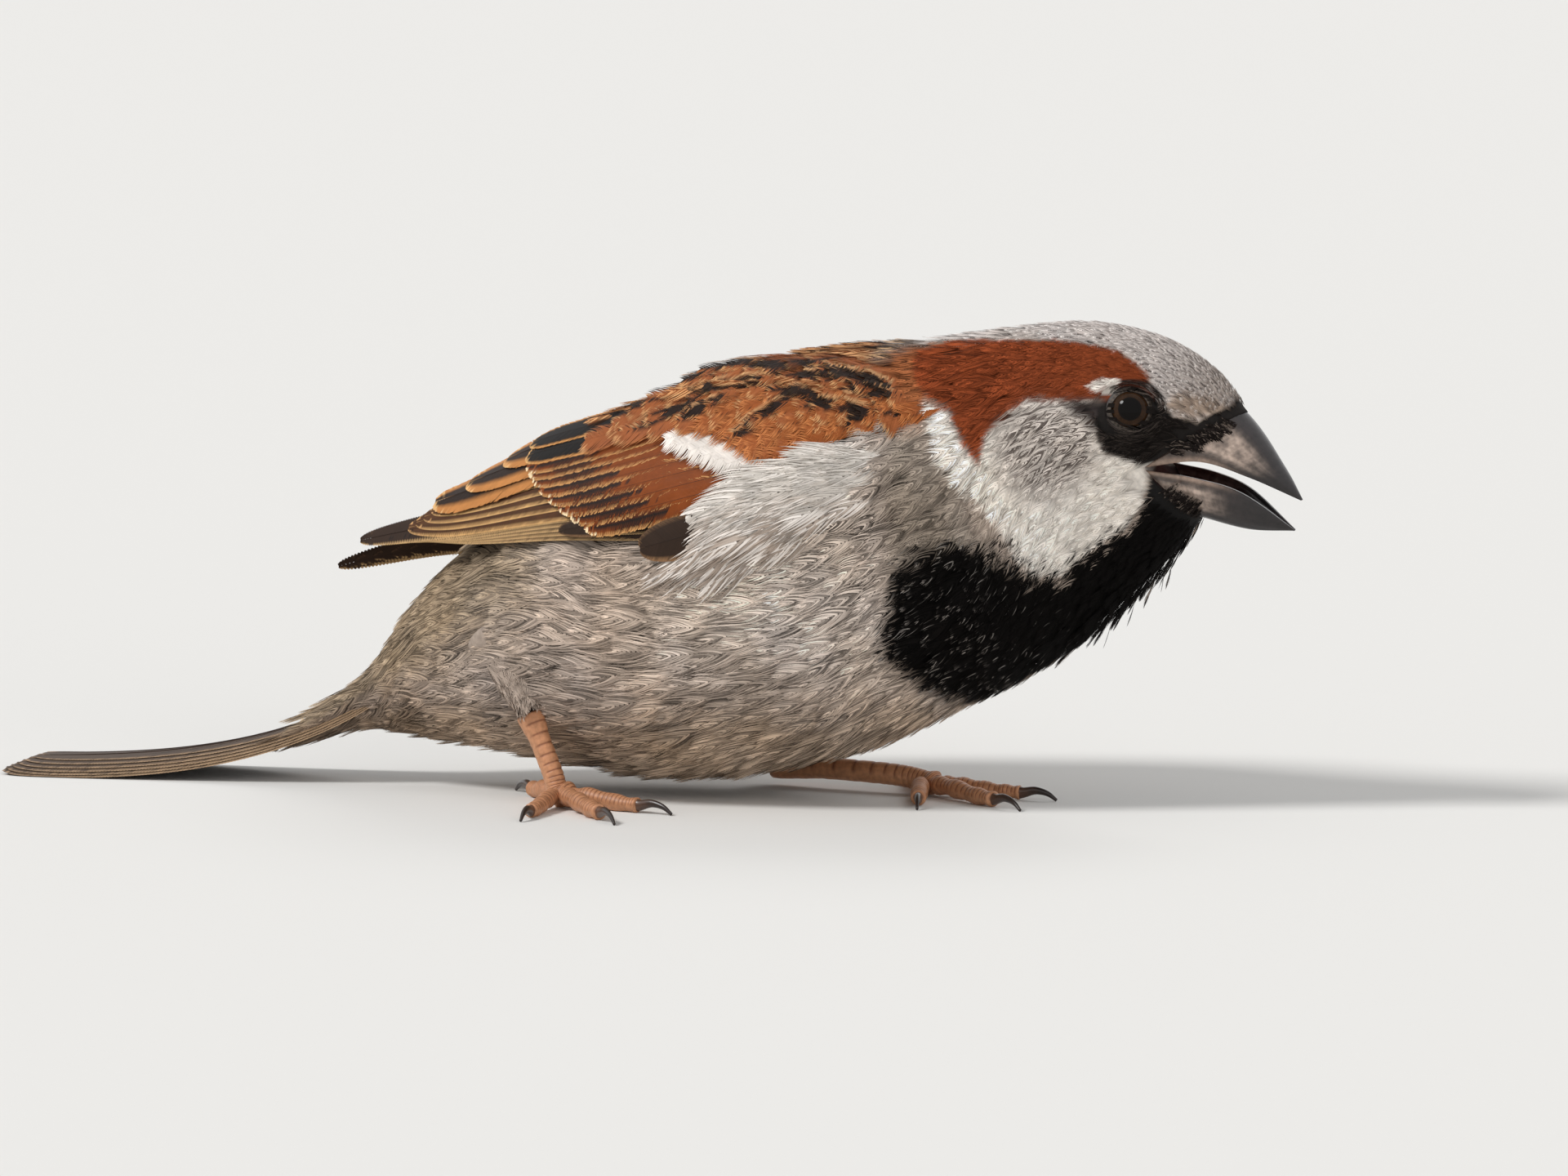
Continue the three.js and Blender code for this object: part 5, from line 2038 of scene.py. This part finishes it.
@dataclass
class Eyes:
    """The two eyes, each a ball with its lids."""

    sheet: Sheet
    pupil: float = 1.3
    iris: float = 2.05
    beads: int = 28

    def frame(self, side: Side) -> tuple[Array, Array, Array, Array]:
        """Middle, outward axis and two cross directions of an eye."""
        axis = eye_axis(self.sheet, side)
        ahead = unit(np.array([1.0, 0, 0]) - axis[0] * axis)
        return EYE * [1, side.value, 1], axis, ahead, np.cross(axis, ahead)

    def ball(self, side: Side) -> None:
        """The ball, a sphere by polar angle and turn, with the pupil and the iris in its colours."""
        middle, axis, ahead, above = self.frame(side)
        polar = np.linspace(0.001, math.pi - 0.001, 90)[:, None, None]
        around = turns(96)[:, None]
        ring = np.sin(polar) * (ahead * np.cos(around) + above * np.sin(around))
        flat, faces = closed_tube(middle + EYE_RADIUS * (ring + np.cos(polar) * axis))
        offset = flat - middle
        depth = (offset @ axis)[:, None]
        out = np.linalg.norm(offset - depth * axis, axis=1)
        turn = np.arctan2(offset @ above, offset @ ahead)
        iris = paint(48, 31, 18) * (0.7 + 0.6 * (0.5 + 0.5 * ripple(turn * 9, out * 3, 3)))[:, None]
        ringed = smooth(self.pupil - 0.06, self.pupil + 0.06, out)
        ringed = ringed * smooth(self.iris + 0.1, self.iris - 0.1, out)
        colour = over(np.broadcast_to(paint(10, 7, 6), flat.shape), (iris, ringed))
        colour = np.where(depth > 0, colour, paint(30, 20, 16))
        name = side.name.lower()
        make_piece(f"eye_ball_{name}", flat, faces, colour, GLOBE, Slot.EYE, [f"eye_{name}"])

    def lids(self, side: Side) -> None:
        """A ring of lid that hugs the ball, beaded along its inner edge."""
        middle, axis, ahead, above = self.frame(side)
        radius = np.array([2.03, 2.0, 2.06, 2.16, 2.26, 2.4, 2.6, 2.9, 3.2])[:, None]
        lift = np.array([-0.35, 0.03, 0.12, 0.15, 0.13, 0.06, 0.02, -0.25, -0.8])[:, None]
        raised = np.array([0, 0, 0.5, 1, 0.6, 0.2, 0, 0, 0])[:, None]
        around, edge = turns(144)[None], 2.26
        ball = np.sqrt(np.maximum(EYE_RADIUS**2 - np.minimum(radius, edge) ** 2, 0))
        ball = ball - 0.25 * np.maximum(radius - edge, 0)
        beads = np.cos(self.beads * around)
        corner = 1 + 0.03 * bell(np.sin(around / 2), 0.25) + 0.03 * bell(np.cos(around / 2), 0.25)
        height = ball + lift + raised * 0.045 * beads
        reach = radius * corner
        flat = (
            middle + (reach * np.cos(around))[..., None] * ahead
            + (reach * np.sin(around))[..., None] * above + height[..., None] * axis
        ).reshape(-1, 3)
        faces = grid_faces(*reach.shape, True)
        a, b, c = (flat[faces[:, k]] for k in range(3))
        if (np.cross(b - a, c - a) @ axis).sum() < 0:
            faces = faces[:, ::-1]
        pale = smooth(2.5, 2.3, radius) * smooth(2.0, 2.1, radius) * (0.3 + 0.7 * (0.5 + 0.5 * beads))
        dark = np.broadcast_to(paint(40, 34, 31), flat.shape)
        colour = over(dark, (paint(98, 88, 79), pale.ravel()))
        make_piece(f"lids_{side.name.lower()}", flat, faces, colour, LID, Slot.HEAD)

    def build(self) -> None:
        """Both eyes."""
        for side in Side:
            self.ball(side)
            self.lids(side)


@dataclass
class Mandible:
    """One half of the bill, between its cutting edge and its ridge.

    Attributes:
        name: the CAD node it replaces.
        edge: x and z of four points of the cutting edge, from gape to tip.
        ridge: the same for the ridge.
        half: half width at those points.
        rim: thickness of the cutting edges.
        trough: depth of the hollow as a share of the mandible's.
        pale: shares of the length between which its paler side fades out; that side is partly its own
            paler colour and partly painted highlight.
    """

    name: str
    edge: Array
    ridge: Array
    half: Array
    rim: float = 0.65
    trough: float = 0.42
    pale: tuple[float, float] = (0.4, 0.75)

    def build(self) -> None:
        """A closed shell: out over the ridge from edge to edge, and back through the trough.

        A point lies a share sin(turn) of the way from the edge to the ridge, cos(turn) half widths
        to the side. Each line starts where it leaves the head.
        """
        outer, inner, rows = 56, 30, 90
        turn = np.concatenate([np.linspace(0, math.pi, outer), np.linspace(math.pi, 0, inner)])
        deep = np.concatenate([np.zeros(outer), np.ones(inner)])
        steps = np.linspace(0, 1, 401)
        start = steps[np.argmax(bill_room(self.points(steps[:, None], turn, deep), -0.5) > 0, axis=0)]
        s = start + (0.999 - start) * (np.linspace(0, 1, rows) ** 0.85)[:, None]
        flat, faces = closed_tube(self.points(s, turn, deep))
        up = np.sin(np.broadcast_to(turn, s.shape))
        grain = ripple(s * 3, turn * 22, 9) + 0.8 * ripple(s * 60, turn * 16, 10)
        side = smooth(0.1, 0.3, up) * smooth(0.86, 0.6, up) * smooth(self.pale[1], self.pale[0], s)
        horn = over(
            np.broadcast_to(paint(50, 41, 39), (*s.shape, 3)),
            (paint(30, 25, 25), smooth(0.35, 0.8, s)),
            (paint(38, 33, 34), smooth(0.75, 0.95, up)),
            # Paler side near the base: paler horn, brightened further as a painted highlight of the
            # horn's gloss.
            (paint(178, 158, 144), side * np.clip(0.8 + 0.4 * grain, 0, 1)),
            (paint(176, 150, 132), 0.7 * smooth(0.16, 0.03, up) * smooth(0.7, 0.3, s)),
            (MOUTH, 0.8 * deep * smooth(0.75, 0.2, s)),
        ) * (1 + 0.14 * grain)[..., None]
        colours = np.concatenate([horn.reshape(-1, 3), horn[:1, 0], horn[-1:, 0]])
        make_piece(f"{self.name}_horn", flat, faces, colours, HORN, Slot.BILL, [self.name])

    def points(self, share: Array, turn: Array, deep: Array) -> Array:
        """Points of the shell.

        Args:
            share: share of its length.
            turn: turn over the ridge.
            deep: 1 in the trough and 0 outside.

        Returns:
            The points.
        """
        share, turn, deep = np.broadcast_arrays(share, turn, deep)
        edge, ridge = spline(self.edge, share * 3), spline(self.ridge, share * 3)
        width = np.maximum(spline(self.half[:, None], share * 3)[..., 0], 0.05)
        rise = np.sin(turn) * np.where(deep > 0, self.trough, 1.0)
        wide = np.where(deep > 0, width - np.minimum(self.rim, width * 0.5), width)
        flat = edge + (ridge - edge) * rise[..., None]
        return np.stack([flat[..., 0], wide * np.cos(turn), flat[..., 1]], -1)


BILL = (
    Mandible(
        "bill_upper",
        np.array([[54.9, 38.9], [60.8, 39.6], [66.0, 37.9], [71.4, 35.3]]),
        np.array([[58.2, 50.0], [65.2, 44.5], [69.4, 38.9], [71.5, 35.42]]),
        np.array([5.2, 4.2, 2.5, 0.25]),
    ),
    Mandible(
        "bill_lower",
        np.array([[54.9, 38.5], [60.2, 37.7], [65.0, 36.1], [70.6, 32.05]]),
        np.array([[56.4, 34.0], [60.2, 33.0], [65.4, 31.9], [70.6, 31.9]]),
        np.array([4.9, 4.0, 2.3, 0.25]), pale=(0.3, 0.6),
    ),
)


# ---- Legs ----


@dataclass(frozen=True)
class Toe:
    """One toe.

    Attributes:
        name: which toe.
        turn: its direction from the foot's heading in degrees, or None for the hallux's own.
        length: length of its bare part.
        radius: its radius.
        joints: number of its swellings.
        claw: length of its claw.
    """

    name: str
    turn: float | None
    length: float
    radius: float
    joints: int
    claw: float


TOES = (
    Toe("hallux", None, 6.6, 1.02, 2, 6.0),
    Toe("inner", 34.0, 8.6, 0.95, 3, 4.3),
    Toe("middle", 0.0, 12.4, 1.0, 4, 5.0),
    Toe("outer", -32.0, 9.6, 0.9, 5, 4.0),
)


@dataclass
class Leg:
    """A bare leg with its four toes and claws.

    Attributes:
        side: which leg it is.
        ankle: middle of the ankle.
        ball: middle of the ball of the foot.
        heading: direction of the middle toe in degrees.
        hallux: direction of the hind toe from the heading.
    """

    side: Side
    ankle: Array
    ball: Array
    heading: float
    hallux: float
    TARSUS_RADIUS = 1.05
    KNOB = 2.25
    TOE_START = 2.75

    def shank(self) -> Part:
        """The tarsus, ringed in front by broad scutes."""
        before = self.ball + (self.ankle - self.ball) * 0.25 + [0, 0, 0.3]
        after = self.ball + unit((self.ball - self.ankle) * [1, 1, 0]) * 1.6
        after[2] = 1.0
        s = np.linspace(0, 1, 120)
        path = spline(np.array([self.ankle, before, self.ball, after]), s * 3)
        knob = smooth(0.72, 0.88, s) * (1 - 0.6 * smooth(0.88, 1.0, s))
        radius = self.TARSUS_RADIUS + 0.35 * (1 - smooth(0, 0.16, s))
        wide = radius + (self.KNOB * 0.82 - radius) * knob
        high = radius * 1.15 + (1.7 - radius * 1.15) * knob
        return self.scaly(path, wide, high, 7.0, 0.05)

    def toe(self, toe: Toe) -> tuple[Part, Part]:
        """A toe with scutes above and pads below, and its hooked claw.

        Args:
            toe: which toe.

        Returns:
            The toe and the claw.
        """
        turn = self.hallux if toe.turn is None else toe.turn
        angle = math.radians(self.heading - self.side.value * turn)
        ahead = np.array([math.cos(angle), math.sin(angle), 0])
        start = self.ball + ahead * self.TOE_START

        def line(*ends: tuple[float, float]) -> Array:
            """Points in the toe's upright plane, each far along it and at a height."""
            return np.array([[*(start + ahead * far)[:2], height] for far, height in ends])

        long, radius, tip = toe.length, toe.radius, toe.length + 0.3
        s = np.linspace(0, 1, 140)
        path = spline(line(
            (-1.2, 1.3), (0, 1.35), (long * 0.3, radius * 1.35), (long * 0.7, radius * 0.95),
            (long, radius * 0.9),
        ), s * 4)
        along = np.clip((s - 0.12) / 0.88, 0, 1)
        swell = 1 + 0.1 * np.cos(2 * math.pi * toe.joints * along)
        size = radius * swell * (0.84 + 0.16 * smooth(0, 0.3, along)) * (1 - 0.2 * along**2)
        size = size * (1 - 0.55 * smooth(0.975, 1.0, along))
        skin = self.scaly(path, size, size, 6.0, 0.055)
        hook = line(
            (long - 0.5, radius * 0.9), (tip, radius * 0.95), (tip + toe.claw * 0.35, radius * 1.25),
            (tip + toe.claw * 0.72, radius * 0.95), (tip + toe.claw, 0.18),
        )
        c, ring = np.linspace(0, 1, 48)[:, None], np.ones(20)
        rings = swept(spline(hook, c[:, 0] * 4), (0.56 - 0.4 * c) * ring, (0.8 - 0.62 * c**0.8) * ring)
        rings[..., 2] = np.maximum(rings[..., 2], 0.0)
        flat, faces = closed_tube(rings)
        shade = smooth(0.0, 0.7, np.append(np.repeat(c, 20), [0.0, 1.0]))
        horn = over(np.broadcast_to(paint(92, 66, 52), flat.shape), (paint(38, 27, 23), shade))
        return skin, (flat, faces, horn)

    @staticmethod
    def scaly(path: Array, wide: Array, high: Array, spacing: float, depth: float) -> Part:
        """A tube whose upper side is ringed by scutes and whose under side is pebbled.

        Each scute rises slowly and drops sharply at its end.

        Args:
            path: middle of each ring.
            wide: half width of each ring.
            high: half height of each ring.
            spacing: rings of the path that make half a scute.
            depth: height of a scute's edge.

        Returns:
            The tube.
        """
        count = np.arange(len(path))[:, None]
        phase = count / spacing % 1.0
        turn = turns(40)[None]
        upper = smooth(-0.35, 0.25, np.sin(turn))
        step = smooth(0.0, 0.25, phase) * (1 - smooth(0.86, 1.0, phase)) - 0.6
        pebble = ripple(count * 0.9, turn * 7, 4)
        relief = depth * (1.3 * step * upper + 0.7 * pebble * (1 - upper))
        rings = swept(path, wide[:, None] + relief, high[:, None] + relief)
        rings[..., 2] = np.maximum(rings[..., 2], 0.0)
        flat, faces = closed_tube(rings)
        groove = (1 - smooth(0.02, 0.2, phase) * (1 - smooth(0.9, 1.0, phase))) * upper
        colour = over(
            np.broadcast_to(paint(184, 130, 94), rings.shape),
            (paint(112, 66, 44), 0.9 * groove),
            (paint(190, 140, 104), 0.4 * (1 - upper) * np.ones((len(path), 1))),
        )
        colour = (colour * (1 + 0.1 * ripple(count * 0.07, turn, 8))[..., None]).reshape(-1, 3)
        return flat, faces, np.concatenate([colour, colour[:1], colour[-1:]])

    def build(self) -> None:
        """Makes the skin of leg and toes as one piece and the claws as another."""
        name = self.side.name.lower()
        made = [self.toe(toe) for toe in TOES]
        skin = joined([self.shank(), *(skin for skin, _ in made)])
        nodes = [f"tarsus_{name}"] + [f"toe_{name}_{toe.name}" for toe in TOES]
        make_piece(f"foot_{name}", *skin, SCUTE, Slot.LEG, nodes)
        claws = joined([claw for _, claw in made])
        nodes = [f"claw_{name}_{toe.name}" for toe in TOES]
        make_piece(f"claws_{name}", *claws, CLAW, Slot.CLAW, nodes)


LEGS = (
    Leg(Side.RIGHT, np.array([-13.8, -15.2, 9.9]), np.array([-10.0, -16.4, 1.6]), -52, 180),
    Leg(Side.LEFT, np.array([5.2, 12.0, 2.3]), np.array([24.0, 8.0, 1.6]), -38, 206),
)


# ---- Studio ----

FILM = 36.0  # width of the camera's film, in millimetres


@dataclass
class Studio:
    """Floor, lights and camera.

    Attributes:
        azimuth: degrees the camera stands round from the bird's right side, towards its bill.
        elevation: degrees it looks down.
        focal: length of its lens in millimetres.
        frame_width: width of the view where the bird stands, in millimetres.
        aim: how far right of the bird's own origin and above it the view is centred.
    """

    azimuth: float = 20.0
    elevation: float = 6.0
    focal: float = 600.0
    frame_width: float = 174.55
    aim: tuple[float, float] = (10.0, 22.9)

    def build(self) -> None:
        """Makes everything that is not part of the bird."""
        self.floor()
        self.light("key", (-0.62, -0.62, 0.85), 16.0, 2.1)
        self.light("fill", (0.75, -0.65, 0.4), 40.0, 0.7)
        self.light("rim", (0.1, 0.8, 0.7), 30.0, 0.6)
        self.world()
        self.camera()

    def floor(self) -> None:
        """A plain pale floor."""
        material = bpy.data.materials.new("floor")
        material.use_nodes = True
        shader = material.node_tree.nodes["Principled BSDF"]
        shader.inputs["Base Color"].default_value = (*paint(232, 230, 226), 1)
        shader.inputs["Roughness"].default_value = 0.9
        mesh, far = bpy.data.meshes.new("floor"), 3.0
        corners = [(-far, -far, 0), (far, -far, 0), (far, far, 0), (-far, far, 0)]
        mesh.from_pydata(corners, [], [(0, 1, 2, 3)])
        mesh.materials.append(material)
        piece = bpy.data.objects.new("floor", mesh)
        bpy.context.scene.collection.objects.link(piece)

    def light(self, name: str, place: tuple[float, float, float], spread: float, power: float) -> None:
        """A soft light that comes from the way of a place.

        Args:
            name: its name.
            place: where it comes from.
            spread: how broad it is, in degrees.
            power: its strength.
        """
        lamp = bpy.data.lights.new(name, "SUN")
        lamp.angle = math.radians(spread)
        lamp.energy = power
        made = bpy.data.objects.new(name, lamp)
        made.visible_glossy = name == "key"
        bpy.context.scene.collection.objects.link(made)
        made.location = place
        towards = unit(np.array(place))
        across = unit(np.cross([0.0, 0.0, 1.0], towards))
        self.aim_axes(made, across, np.cross(towards, across), towards)

    @staticmethod
    def aim_axes(thing: bpy.types.Object, right: Array, up: Array, back: Array) -> None:
        """Turns a lamp or camera.

        Args:
            thing: the lamp or camera.
            right: direction of its own X.
            up: direction of its own Y.
            back: direction of its own Z.
        """
        matrix = thing.matrix_world.copy()
        for axis, direction in enumerate((right, up, back, thing.location)):
            for k in range(3):
                matrix[k][axis] = float(direction[k])
        thing.matrix_world = matrix

    def world(self) -> None:
        """A white surround to look at, and an even soft light from all round."""
        world = bpy.data.worlds.new("studio")
        world.use_nodes = True
        nodes, links = world.node_tree.nodes, world.node_tree.links
        seen, lit = nodes["Background"], nodes.new("ShaderNodeBackground")
        for shader, colour, strength in ((seen, (1, 1, 1, 1), 1.0), (lit, (0.95, 0.97, 1.0, 1), 0.36)):
            shader.inputs["Color"].default_value = colour
            shader.inputs["Strength"].default_value = strength
        paths, mix = nodes.new("ShaderNodeLightPath"), nodes.new("ShaderNodeMixShader")
        sees, any_ray = nodes.new("ShaderNodeMath"), nodes.new("ShaderNodeMath")
        sees.operation = any_ray.operation = "MAXIMUM"
        for node, output, target, socket in (
            (paths, "Is Camera Ray", sees, 0), (paths, "Is Transmission Ray", sees, 1),
            (sees, 0, any_ray, 0), (paths, "Is Glossy Ray", any_ray, 1), (any_ray, 0, mix, 0),
            (lit, 0, mix, 1), (seen, 0, mix, 2), (mix, 0, nodes["World Output"], 0),
        ):
            links.new(node.outputs[output], target.inputs[socket])
        bpy.context.scene.world = world

    def camera(self) -> None:
        """A long lens that frames the bird from its right and a little from above."""
        turn, lift = math.radians(self.azimuth), math.radians(self.elevation)
        right = np.array([math.cos(turn), math.sin(turn), 0])
        level = math.cos(lift)
        back = np.array([math.sin(turn) * level, -math.cos(turn) * level, math.sin(lift)])
        up = np.cross(back, right)
        distance = self.frame_width * self.focal / FILM
        target = self.aim[0] * right + self.aim[1] * up - MIDDLE
        data = bpy.data.cameras.new("camera")
        data.lens = self.focal
        data.sensor_width = FILM
        data.clip_start = 0.05
        data.clip_end = 20.0
        made = bpy.data.objects.new("camera", data)
        bpy.context.scene.collection.objects.link(made)
        made.location = (target + back * distance) * MM
        self.aim_axes(made, right, up, back)
        bpy.context.scene.camera = made
        bpy.context.scene.view_settings.view_transform = "Standard"


def main() -> None:
    """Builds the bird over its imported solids, in order."""
    logging.basicConfig(level=logging.INFO, format="%(name)s: %(message)s")
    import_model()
    mottle = mottle_group()
    for finish in FINISHES:
        finish.make(mottle)
    wings = (Wing(Side.RIGHT, 0.0, 1.0), Wing(Side.LEFT, 3.5, 1.11))
    body = Body(wings)
    body.skin()
    body.dress()
    body.flare(180)
    body.bristles(190)
    for side, thigh in THIGHS.items():
        name, batch = f"coat_thigh_{side.name.lower()}", thigh.feathers(50)
        feather_piece(name, batch, THIGH_VANE, paint_thigh, DOWN, Slot.BODY)
    for wing in wings:
        WingDress(wing).dress()
    Tail().dress()
    Eyes(body.sheet).build()
    for part in (*BILL, *LEGS, Studio()):
        part.build()
    LOG.info("everything built")


if __name__ == "__main__":
    main()
